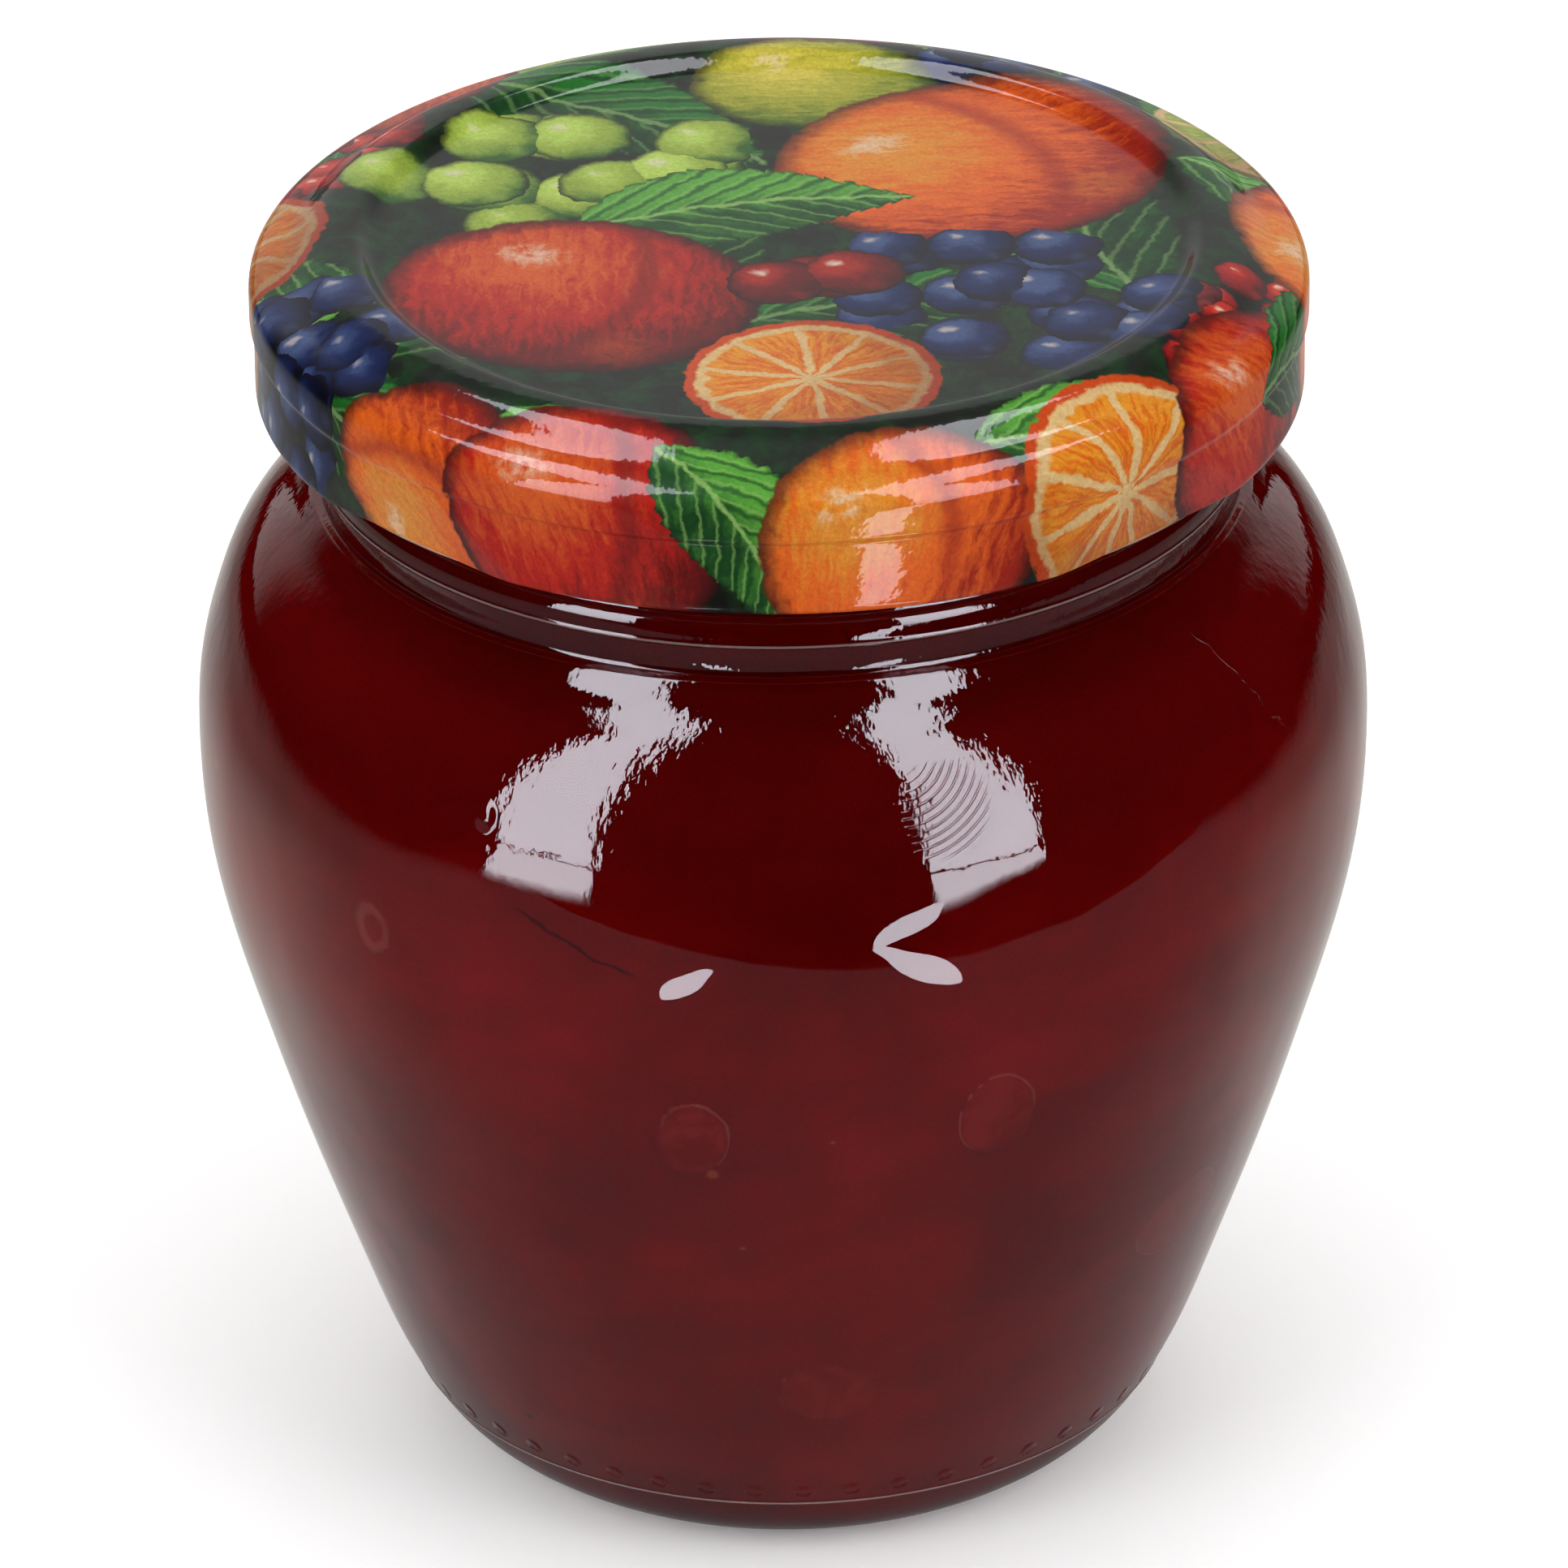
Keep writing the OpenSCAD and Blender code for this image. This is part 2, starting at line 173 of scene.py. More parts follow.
def smooth_chain(stations, steps=24):
    """Outline through stations: each stretch is the cubic curve whose two handles run along the
    stations' headings, with a length of HANDLE times the chord."""
    s = np.array(stations, float)
    a, b = s[:-1], s[1:]
    reach = np.linalg.norm(b[:, :2] - a[:, :2], axis=1, keepdims=True) * HANDLE
    q = a[:, :2] + reach * heading_vector(a[:, 2])
    r = b[:, :2] - reach * heading_vector(b[:, 2])
    t = (np.arange(steps) / steps)[None, :, None]
    u = 1 - t
    curve = (u**3 * a[:, None, :2] + 3 * u * u * t * q[:, None] + 3 * u * t * t * r[:, None]
             + t**3 * b[:, None, :2])
    return np.concatenate([curve.reshape(-1, 2), s[-1:, :2]])


def arc(centre, radius, start, end, steps=12):
    """Points centre + radius [cos a, sin a] for a from start to end in degrees."""
    a = np.radians(np.linspace(start, end, steps + 1))
    return np.array(centre) + radius * np.stack([np.cos(a), np.sin(a)], 1)


def arc_length(outline):
    """Distance along the outline to each of its points."""
    return np.concatenate([[0], np.cumsum(np.linalg.norm(np.diff(outline, axis=0), axis=1))])


def softened(outline, width, step=0.04):
    """The outline resampled every step and averaged along its length with a bell curve of this
    width, which rounds its corners as heat or a press rounds them. Its ends stay where they are."""
    d = arc_length(outline)
    s = np.linspace(0, d[-1], int(d[-1] / step) + 2)
    p = np.stack([np.interp(s, d, outline[:, 0]), np.interp(s, d, outline[:, 1])], 1)
    n = int(width * 3 / step)
    k = np.exp(-0.5 * (np.arange(-n, n + 1) * step / width) ** 2)
    k /= k.sum()
    # The outline goes on straight past each end, so that the average keeps the end points
    head, tail = 2 * p[0] - p[1 : n + 1][::-1], 2 * p[-1] - p[-n - 1 : -1][::-1]
    q = np.concatenate([head, p, tail])
    return np.stack([np.convolve(q[:, 0], k, "valid"), np.convolve(q[:, 1], k, "valid")], 1)


def spread_rows(outline, rows, coarse, extra=None):
    """The outline at this many places, set closer where it turns. The density is 1 / coarse plus
    three times the turning in radians per millimetre, plus extra(points)."""
    d = arc_length(outline)
    t = np.diff(outline, axis=0)
    a = np.unwrap(np.arctan2(t[:, 1], t[:, 0]))
    turn = np.abs(np.gradient(a)) / np.maximum(np.diff(d), 1e-9)
    middle = (outline[1:] + outline[:-1]) / 2
    density = 1 / coarse + 3 * np.minimum(turn, 4)
    if extra is not None:
        density = density + extra(middle)
    total = np.concatenate([[0], np.cumsum(density * np.diff(d))])
    at = np.interp(np.linspace(0, total[-1], rows), total, d)
    return np.stack([np.interp(at, d, outline[:, 0]), np.interp(at, d, outline[:, 1])], 1)


def smooth_step(x, low, high):
    """0 below low, 1 above high and 3t^2 - 2t^3 between them."""
    t = np.clip((x - low) / (high - low), 0, 1)
    return t * t * (3 - 2 * t)


def lesser(a, b, round_):
    """The lesser of a and b with the corner between them rounded, with k for the rounding: half of
    a + b - sqrt((a - b)^2 + k^2), raised by k / 4, so it is at most k / 4 below the true one."""
    return (a + b - np.sqrt((a - b) ** 2 + round_**2)) / 2 + round_ / 4


def put_mesh(name, points, faces, millimetres=True):
    """A new smooth mesh object at the origin from arrays of points and faces."""
    mesh = bpy.data.meshes.new(name)
    mesh.from_pydata((points * (0.001 if millimetres else 1)).tolist(), [], faces)
    mesh.validate()
    mesh.shade_smooth()
    ob = bpy.data.objects.new(name, mesh)
    bpy.context.scene.collection.objects.link(ob)
    return ob


def closed_faces(rows, columns, start=0):
    """Faces of a closed form of so many rows and columns, whose first and last row are one
    point."""
    at = start + 1 + np.arange((rows - 2) * columns).reshape(rows - 2, columns)
    after = np.roll(at, -1, 1)
    quads = np.stack([at[:-1], after[:-1], after[1:], at[1:]], -1).reshape(-1, 4)
    low = np.stack([np.full(columns, start), after[0], at[0]], -1)
    high = np.stack([at[-1], after[-1], np.full(columns, at[-1, -1] + 1)], -1)
    return low.tolist() + quads.tolist() + high.tolist()


def turned(radius, height, angle):
    """Points and faces of a closed form: point (i, j) is [radius cos angle_j, radius sin angle_j,
    height]. The first and the last row lie on the axis and become one point each."""
    x, y = radius * np.cos(angle), radius * np.sin(angle)
    body = np.stack([x, y, height], -1)[1:-1].reshape(-1, 3)
    points = np.concatenate([[[0, 0, height[0, 0]]], body, [[0, 0, height[-1, 0]]]])
    return points, closed_faces(*radius.shape)


def round_grid(rows, columns):
    """Radius and height at every point of the rows turned about the axis, and each column's
    angle."""
    angle = np.arange(columns) * 2 * np.pi / columns
    return np.repeat(rows[:, :1], columns, 1), np.repeat(rows[:, 1:], columns, 1), angle


# Sizes that more than one piece needs, in millimetres

GROOVE_R = 31.8
# How far the neck ring, the waist above it, the bore and the threads stand in or out of the finish
RING_IN, WAIST_IN, BORE_IN, THREAD_OUT = 0.2, 0.8, 3.2, 1.5
# Downward from the finish's foot: to the neck ring's top, its low edge and the groove
RING_DROP, RING_TALL, GROOVE_DROP = 1.4, 2.4, 2.8
# The mould seams stand this far above the heel's and the neck ring's low corners
SEAM_LIFT, SEAM_TALL, SEAM_WIDE = 0.25, 0.08, 0.13
# Width of the ring that the jar rests on, height of the push-up, roundings of the neck ring and the
# rim
REST_WIDE, PUSH_UP, RING_ROUND, RIM_OUT, RIM_IN = 2.2, 1.6, 1.2, 1.3, 1.0


def glass_sizes(scene):
    """The settings of the glass with what follows from them, in millimetres."""
    g = scene.jam_pot_glass
    s = SimpleNamespace(**{n: getattr(g, n) * 1000 for n in (
        "belly", "height", "foot", "wall", "floor", "shoulder", "finish", "finish_height",
        "thread_rise")})
    s.finish_r = s.finish / 2
    s.bead_r, s.waist_r = s.finish_r - RING_IN, s.finish_r - WAIST_IN
    s.bore_r, s.thread_r = s.finish_r - BORE_IN, s.finish_r + THREAD_OUT
    s.groove_r = GROOVE_R
    s.finish_z = s.height - s.finish_height
    s.bead_top_z = s.finish_z - RING_DROP
    s.bead_z = s.bead_top_z - RING_TALL
    s.groove_z = s.bead_z - GROOVE_DROP
    s.belly_z = s.groove_z - s.shoulder
    s.jam_z = s.height - scene.jam_pot_fill.headspace * 1000
    s.seams = body_stations(s)[1, 1] + SEAM_LIFT, s.bead_z + SEAM_LIFT
    return s


def body_stations(s, shares=SHOULDER):
    """Stations of the body's outside, from the table up to the groove, as shares of its sizes."""
    foot, belly = s.foot / 2, s.belly / 2
    flank = FLANK * [belly - foot, s.belly_z, 1] + [foot, 0, 0]
    shoulder = shares * [belly - s.groove_r, s.groove_z - s.belly_z, 1]
    return np.concatenate([flank, shoulder + [s.groove_r, s.belly_z, 0]])


def cavity_outline(s, inset, top_z):
    """Inside of the glass moved toward the axis by inset, from the floor's middle up to top_z. The
    floor is a dome that falls to its edge as the fifth power of r / edge."""
    edge, low = s.foot / 2 * 0.91 - inset, s.floor * 0.62 + inset
    r = np.linspace(0, 1, 24)[:-1]
    floor = np.stack([r * edge, low + (s.floor * 0.38 + 0.5) * (1 - r**5)], 1)
    wall = smooth_chain(np.concatenate([
        [[edge, low, 75]],
        moved_right(body_stations(s)[1:-1], -s.wall - inset),
        [[s.bore_r - inset, s.groove_z + s.wall / 2, 0]]]))
    return np.concatenate([floor, wall, [[s.bore_r - inset, top_z]]])


def mapped_inside(s, z):
    """Radius of the glass's inside at heights z, read off its outline."""
    p = cavity_outline(s, 0.0, s.height)
    keep = np.concatenate([[True], np.diff(p[:, 1]) > 1e-6])
    keep &= p[:, 0] > s.foot / 2 * 0.8
    return np.interp(z, p[keep, 1], p[keep, 0])


# Node helper

def wired(operation, swapped=False):
    """A method of Wire that adds a Math node with this operation."""
    def method(self, other=None):
        a, b = (other, self) if swapped else (self, other)
        return self.nodes.math(operation, a, b)
    return method


class Wire:
    """The output of a node. Arithmetic with it adds Math nodes to its tree."""

    def __init__(self, nodes, node, key=0):
        self.nodes, self.socket = nodes, node.outputs[key]

    __add__, __radd__ = wired("ADD"), wired("ADD", True)
    __sub__, __rsub__ = wired("SUBTRACT"), wired("SUBTRACT", True)
    __mul__, __rmul__ = wired("MULTIPLY"), wired("MULTIPLY", True)
    __truediv__, __rtruediv__ = wired("DIVIDE"), wired("DIVIDE", True)
    __abs__ = wired("ABSOLUTE")

    def __neg__(self):
        return self * -1.0


class Nodes:
    """Adds nodes to a tree whose last node is of the given kind."""

    def __init__(self, tree, last):
        self.tree, self.count = tree, 0
        self.last = self.add(last)

    def plug(self, value, socket):
        """Links a wire or a node's first output to the socket, or sets the socket to a plain
        value."""
        if isinstance(value, bpy.types.Node):
            value = Wire(self, value)
        if isinstance(value, Wire):
            self.tree.links.new(value.socket, socket)
        elif socket.type == "RGBA" and len(value) == 3:
            socket.default_value = (*value, 1)
        else:
            socket.default_value = value

    def add(self, kind, inputs=None, **settings):
        """A new node with these inputs and settings. The nodes stand in rows of twelve."""
        node = self.tree.nodes.new(kind)
        node.location = (self.count % 12 * 180, -(self.count // 12) * 260)
        self.count += 1
        for key, value in settings.items():
            setattr(node, key, value)
        for key, value in (inputs or {}).items():
            if value is not None:
                self.plug(value, node.inputs[key])
        return node

    def wire(self, kind, inputs=None, key=0, **settings):
        """The output called key of a new node."""
        return Wire(self, self.add(kind, inputs, **settings), key)

    def end(self, value):
        """Links the value to the tree's last node."""
        self.plug(value, self.last.inputs[0])

    def math(self, operation, a, b=None):
        return self.wire("ShaderNodeMath", {0: a, 1: b}, operation=operation)

    def vector(self, operation, a, b=None, c=None, scale=None):
        key = "Value" if operation in ("LENGTH", "DISTANCE") else "Vector"
        return self.wire(
            "ShaderNodeVectorMath", {0: a, 1: b, 2: c, "Scale": scale}, key, operation=operation)

    def ramp(self, value, low, high, to_low=0.0, to_high=1.0, smooth=True):
        """Map Range from low..high to to_low..to_high, held at the ends."""
        return self.wire(
            "ShaderNodeMapRange", {0: value, 1: low, 2: high, 3: to_low, 4: to_high},
            interpolation_type="SMOOTHSTEP" if smooth else "LINEAR")

    def within(self, value, low, high, soft):
        """1 where value lies between low and high, with soft ends."""
        return self.ramp(value, low - soft, low + soft) * self.ramp(value, high + soft, high - soft)

    def mix(self, share, a, b, blend="MIX"):
        return self.wire(
            "ShaderNodeMix", {0: share, 6: a, 7: b}, 2, data_type="RGBA", blend_type=blend)

    def noise(self, vector, scale, detail=2.0, roughness=0.5, distortion=0.0, colour=False):
        return self.wire("ShaderNodeTexNoise", {
            "Vector": vector, "Scale": scale, "Detail": detail, "Roughness": roughness,
            "Distortion": distortion}, 1 if colour else 0)

    def bump(self, strength, distance, height):
        return self.wire(
            "ShaderNodeBump", {"Strength": strength, "Distance": distance, "Height": height})

    def group(self, tree, **inputs):
        return self.wire("ShaderNodeGroup", inputs, node_tree=tree)

    def place(self):
        """The object's own coordinates."""
        return self.wire("ShaderNodeTexCoord", key="Object")

    def mapping(self, vector, place=(0, 0, 0), turn=(0, 0, 0), size=(1, 1, 1)):
        """Moves a pattern to place, turned and scaled by size."""
        return self.wire(
            "ShaderNodeMapping",
            {"Vector": vector, "Location": place, "Rotation": turn, "Scale": size},
            vector_type="TEXTURE")

    def parts(self, vector):
        node = self.add("ShaderNodeSeparateXYZ", {0: vector})
        return [Wire(self, node, k) for k in range(3)]

    def rays(self, *kinds):
        """For each kind, 1 where the ray is of it."""
        node = self.add("ShaderNodeLightPath")
        return [Wire(self, node, f"Is {kind} Ray") for kind in kinds]

    def from_axis(self, place):
        """Distance from the vertical axis."""
        return self.vector("LENGTH", self.vector("MULTIPLY", place, (1, 1, 0)))


def new_material(name):
    """A node material that holds only its output, and the helper on its tree."""
    mat = bpy.data.materials.new(name)
    mat.use_nodes = True
    mat.node_tree.nodes.clear()
    return mat, Nodes(mat.node_tree, "ShaderNodeOutputMaterial")


def new_group(name, colours, vectors, numbers):
    """A node group with the inputs that these words name and one output, Colour. Gives the tree,
    its helper and its inputs as wires."""
    tree = bpy.data.node_groups.new(name, "ShaderNodeTree")
    for words, kind in ((colours, "Color"), (vectors, "Vector"), (numbers, "Float")):
        for word in words.split():
            tree.interface.new_socket(word, in_out="INPUT", socket_type="NodeSocket" + kind)
    tree.interface.new_socket("Colour", in_out="OUTPUT", socket_type="NodeSocketColor")
    n = Nodes(tree, "NodeGroupOutput")
    ins = n.add("NodeGroupInput")
    return tree, n, {i.name: Wire(n, ins, i.name) for i in ins.outputs if i.name}


# Glass

# Where a thread ridge swells and fades, in degrees from its lug, and its height above the lid's hem
RIDGE_START, RIDGE_END, RIDGE_Z = (-31.7, -21.6), (30.2, 40.3), 1.6


def ridge_height(s, angle, z):
    """How far the threads stand out of the finish at each angle and height. Each of the four ridges
    runs from -31.7 to 40.3 degrees about its lug, climbs by the thread rise in a turn, is a
    flat-topped band 1.35 mm high, and fades over 10 degrees at both ends."""
    total = np.zeros(np.broadcast(angle, z).shape)
    low_z = LID_LOW[2] + RIDGE_Z
    for k in range(4):
        turn = (np.degrees(angle) - 45 - 90 * k + 180) % 360 - 180
        up = z - (low_z + s.thread_rise * turn / 360)
        band = smooth_step(up, -0.05, 0.2) * (1 - smooth_step(up, 0.7, 1.35))
        ends = smooth_step(turn, *RIDGE_START) * (1 - smooth_step(turn, *RIDGE_END))
        total = np.maximum(total, band * ends)
    return total * (s.thread_r - s.finish_r)


class JAMPOT_OT_glass(bpy.types.Operator):
    """Build the glass jar with its push-up, seams, bead, thread ridges and rim"""

    bl_idname = "jampot.glass"
    bl_label = "Glass jar"

    def execute(self, context):
        s = glass_sizes(context.scene)
        rest_in = s.foot / 2 - REST_WIDE
        r = np.linspace(0, 1, 24)
        push_up = np.stack([r * rest_in, PUSH_UP * (1 - r * r)], 1)
        outside = np.concatenate([
            push_up, smooth_chain(body_stations(s, SWEPT)),
            [[s.groove_r + 0.5, s.groove_z + 0.6], [s.groove_r + 0.35, s.groove_z + 0.9],
             [s.bead_r, s.bead_z]],
            arc([s.bead_r - RING_ROUND, s.bead_top_z - RING_ROUND], RING_ROUND, 0, 60),
            [[s.waist_r, s.bead_top_z], [s.waist_r, s.bead_top_z + 0.6],
             [s.finish_r, s.finish_z]]])
        outside = softened(outside, 0.15)
        # The two seams of the mould are low round ridges
        for z in s.seams:
            near = outside[:, 0] > rest_in
            outside[:, 0] += near * SEAM_TALL * np.exp(-(((outside[:, 1] - z) / SEAM_WIDE) ** 2))
        outline = np.concatenate([
            outside,
            arc([s.finish_r - RIM_OUT, s.height - RIM_OUT], RIM_OUT, 0, 90),
            arc([s.bore_r + RIM_IN, s.height - RIM_IN], RIM_IN, 90, 180),
            cavity_outline(s, 0, s.height - RIM_IN)[::-1]])

        def extra(p):
            seams = sum(np.exp(-(((p[:, 1] - z) / 0.4) ** 2)) for z in s.seams)
            seams = seams * (p[:, 0] > s.foot / 2)
            return 9 * seams + 4.0 * ((p[:, 0] > s.finish_r - 0.1) & (p[:, 1] > s.finish_z - 1))

        rows = spread_rows(outline, 300, 1.8, extra)
        r, z, angle = round_grid(rows, context.scene.jam_pot_glass.columns)
        on_finish = (r > s.finish_r - 0.02) & (z > s.finish_z - 1) & (z < s.height - RIM_OUT)
        r = r + on_finish * ridge_height(s, angle[None, :], z)
        ob = put_mesh("jar_glass", *turned(r, z, angle))
        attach(ob, "jar")
        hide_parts("glass_jar")
        ob.data.materials.append(glass_material(context.scene))
        return {"FINISHED"}


def glass_material(scene):
    """Clear glass with slow waves, finer ripples on the shoulder, the arcs of a tool mark, a
    bubble, a crease, a ring of small raised dots above the heel, and two seams with frosted
    crests."""
    mat, n = new_material("clear_glass")
    place = n.place()
    x, y, z = n.parts(place)
    # Slow waves of the pressed surface, longer up the jar than round it
    waves = n.noise(n.mapping(place, size=(0.011, 0.011, 0.02)), 1, 1.5, 0.5)
    ripple = n.noise(n.mapping(place, size=(0.0016, 0.0016, 0.0026)), 1, 2.5, 0.6)
    patch = n.ramp(n.noise(place, 60, 1), 0.35, 0.6, 0.35, 1) * n.ramp(z, 0.056, 0.069)
    fine = n.noise(n.mapping(place, size=(0.0006, 0.0006, 0.0015)), 1, 2, 0.6)
    uneven = ripple * 0.2 + fine * 0.08
    bumps = waves + uneven * patch
    # Fine arcs of a tool mark on the shoulder, and one bubble beside it
    mark = n.vector("DISTANCE", place, (0.0073, -0.0356, 0.0698))
    arcs = n.math("SINE", mark * (2 * math.pi / 0.00058))
    spot = n.vector("DISTANCE", place, (0.0108, -0.0371, 0.066))
    arcs = n.ramp(arcs, 0.4, 1) * n.ramp(spot, 0.004, 0.0022)
    bumps = bumps + arcs * -0.1
    inside = n.mapping(place, (-0.0204, -0.0339, 0.0642), size=(0.0008, 0.0008, 0.0011))
    bubble = n.vector("LENGTH", inside)
    bumps = bumps + n.ramp(bubble, 1.3, 0.2) * 0.9
    # A faint crease that wanders down the right shoulder: azimuth 52 + 0.9 (71.7 - z) degrees
    azimuth = n.math("ARCTAN2", x, -y) * (180 / math.pi)
    drift = (n.noise(place, 330, 2) - 0.5) * 5
    path = (0.0717 - z) * 900.0 + (drift + 52.1)
    crease = n.ramp(abs(azimuth - path), 0.36, 0.05)
    crease = crease * n.within(z, 0.0635, 0.0715, 0.0008)
    bumps = bumps + crease * 0.16
    # 51 dots round the heel, 1.5 mm above the seam
    round_ = n.math("ARCTAN2", y, x) * (51 / (2 * math.pi))
    across = (n.math("FRACT", round_ + 100) - 0.5) * 3.4
    up = (z - 0.0069) * 1000.0
    dot = n.math("SQRT", across * across + up * up)
    dots = n.ramp(dot, 0.75, 0.25) * 1.1
    shader = n.add("ShaderNodeBsdfPrincipled", {
        "Base Color": scene.jam_pot_glass.colour, "Roughness": 0.0, "IOR": 1.5,
        "Transmission Weight": 1, "Normal": n.bump(1, 0.00022, bumps + dots)})
    # The crests of the two seams are a little frosted and catch the light
    s = glass_sizes(scene)
    outer = n.math("GREATER_THAN", n.from_axis(place), s.foot / 2000)
    crest = 0.0
    for at, share in zip(s.seams, (0.42, 0.30)):
        crest = crest + n.ramp(abs(z - at / 1000), 0.00012, 0.00005, 0, share) * outer
    frost = n.add("ShaderNodeBsdfDiffuse", {"Color": (0.46, 0.38, 0.36)})
    n.end(n.add("ShaderNodeMixShader", {0: crest, 1: shader, 2: frost}))
    return mat


# Jam and fruit

# Kinds of specks in the jam: scale of their grid, size, the number a cell must pass, and colour
SPECKS = (
    (210.0, 0.13, 0.93, (0.28, 0.055, 0.02)), (330.0, 0.12, 0.96, (0.26, 0.12, 0.07)),
    (120.0, 0.06, 0.86, (0.010, 0.0, 0.0)))


def jam_material(scene, name):
    """Dark set jam, wet against the glass, so that it has no gloss of its own there. Soft clouds of
    pulp lie in it. Its lower half is painted lighter, as painted light from the pale table below. A
    dark fold and small specks lie in it, and the attribute fruit, from 0 to 1, turns it to the
    flesh of a piece of fruit, with pale arcs along parts of its edge that are a painted reflection."""
    fill = scene.jam_pot_fill
    mat, n = new_material(name)
    place = n.place()
    clouds = n.noise(place, 55, 4, 0.6, 0.4)
    streaks = n.noise(n.mapping(place, size=(1, 1, 0.4)), 130, 3, 0.6)
    # The painted light from the table below has an uneven upper edge, which lies lowest in the
    # middle of the front
    x, y, z = n.parts(place)
    level = z + (n.noise(place, 45, 2) - 0.5) * 0.01
    level = level + n.ramp(abs(x - 0.001), 0.016, 0, 0, 0.007)
    painted_table_light = n.ramp(level, 0.065, 0.05)
    cloudy = clouds * 0.7 + streaks * 0.3
    # The pulp's share: random clouds, raised in the lower half as painted light from the table
    pulp = n.ramp(cloudy, 0.36, 0.66, 0.5, 1) * (painted_table_light * 0.88 + 0.12)
    colour = n.mix(pulp, fill.jam, fill.pulp)
    # Fruit flesh with its own veins
    share = n.wire("ShaderNodeAttribute", key="Fac", attribute_name="fruit")
    veins = n.ramp(n.noise(place, 300, 3, 0.6, 1.2), 0.35, 0.7, 0.15, 0.75)
    colour = n.mix(n.ramp(share, 0, 1) * veins, colour, fill.flesh)
    # Pale arcs along parts of each piece's edge, a painted reflection
    painted_reflection_arcs = n.within(share, 0.1, 0.42, 0.09) * n.ramp(n.noise(place, 130, 2), 0.46, 0.6)
    colour = n.mix(painted_reflection_arcs * 0.3, colour, (0.27, 0.075, 0.06))
    # A dark fold of jam against the glass: the line z = 55.9 - 15.3 (a + 0.372) mm, a being the
    # azimuth
    turn = n.math("ARCTAN2", x, -y) + 0.372
    sway = (n.noise(place, 260, 3, 0.6) - 0.5) * 0.0022
    line = z - 0.0559 + (turn * 0.0153 + sway)
    fold = n.ramp(abs(line), 0.00022, 0.00006) * n.ramp(abs(turn), 0.13, 0.08)
    colour = n.mix(fold * 0.75, colour, (0.008, 0, 0))
    # The few cells of a random grid whose own number is high hold a speck each
    for scale, size, limit, tone in SPECKS:
        cells = n.add("ShaderNodeTexVoronoi", {"Vector": place, "Scale": scale, "Randomness": 1})
        chance = n.math("GREATER_THAN", n.parts(Wire(n, cells, "Color"))[0], limit)
        spot = n.ramp(Wire(n, cells, "Distance"), size, size * 0.4) * chance
        colour = n.mix(spot * 0.55, colour, tone)
    n.end(n.add("ShaderNodeBsdfPrincipled", {
        "Base Color": colour, "Roughness": 0.4, "Specular IOR Level": 0.0,
        "Normal": n.bump(0.3, 0.0004, clouds)}))
    return mat


class JAMPOT_OT_jam(bpy.types.Operator):
    """Build the jam that fills the jar and wets the glass up to its meniscus"""

    bl_idname = "jampot.jam"
    bl_label = "Jam"

    def execute(self, context):
        s = glass_sizes(context.scene)
        fill = context.scene.jam_pot_fill
        wet, climb = fill.wetting * 1000, fill.meniscus * 1000
        wall = cavity_outline(s, -wet, s.jam_z + climb)
        t = np.linspace(0, 1, 14)
        surface = np.stack([s.bore_r - t * 1.6, s.jam_z + climb * (1 - t) ** 2], 1)
        outline = softened(np.concatenate([wall, surface, [[0, s.jam_z]]]), 0.08)
        rows = spread_rows(outline, 150, 2.4)
        r, z, angle = round_grid(rows, 192)
        # The top isn't quite level: low swells that die away at the glass
        top = smooth_step(rows[:, 1], s.jam_z - 0.3, s.jam_z - 0.1)[:, None]
        inward = top * smooth_step(s.bore_r - r, 1.5, 6)
        swell = np.sin(r / 4 + 2 * angle) * np.sin(r / 7 - 3 * angle) * np.minimum(r / 5, 1)
        z = z + inward * 0.25 * swell
        ob = put_mesh("jam_fill", *turned(r, z, angle))
        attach(ob, "jar")
        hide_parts("jam")
        ob.data.materials.append(jam_material(context.scene, "set_jam"))
        return {"FINISHED"}


# Azimuth, height from floor to groove as a share, size as a share of the largest piece
FRUIT = np.array([
    [-102, 0.55, 0.9], [-68, 0.56, 0.85], [-84, 0.2, 0.8], [-35, 0.32, 0.95], [-8, 0.66, 0.8],
    [25, 0.24, 0.9], [48, 0.52, 1], [80, 0.35, 0.85], [108, 0.68, 0.9], [140, 0.3, 1],
    [172, 0.58, 0.85], [-150, 0.25, 0.9], [-138, 0.7, 0.8]])


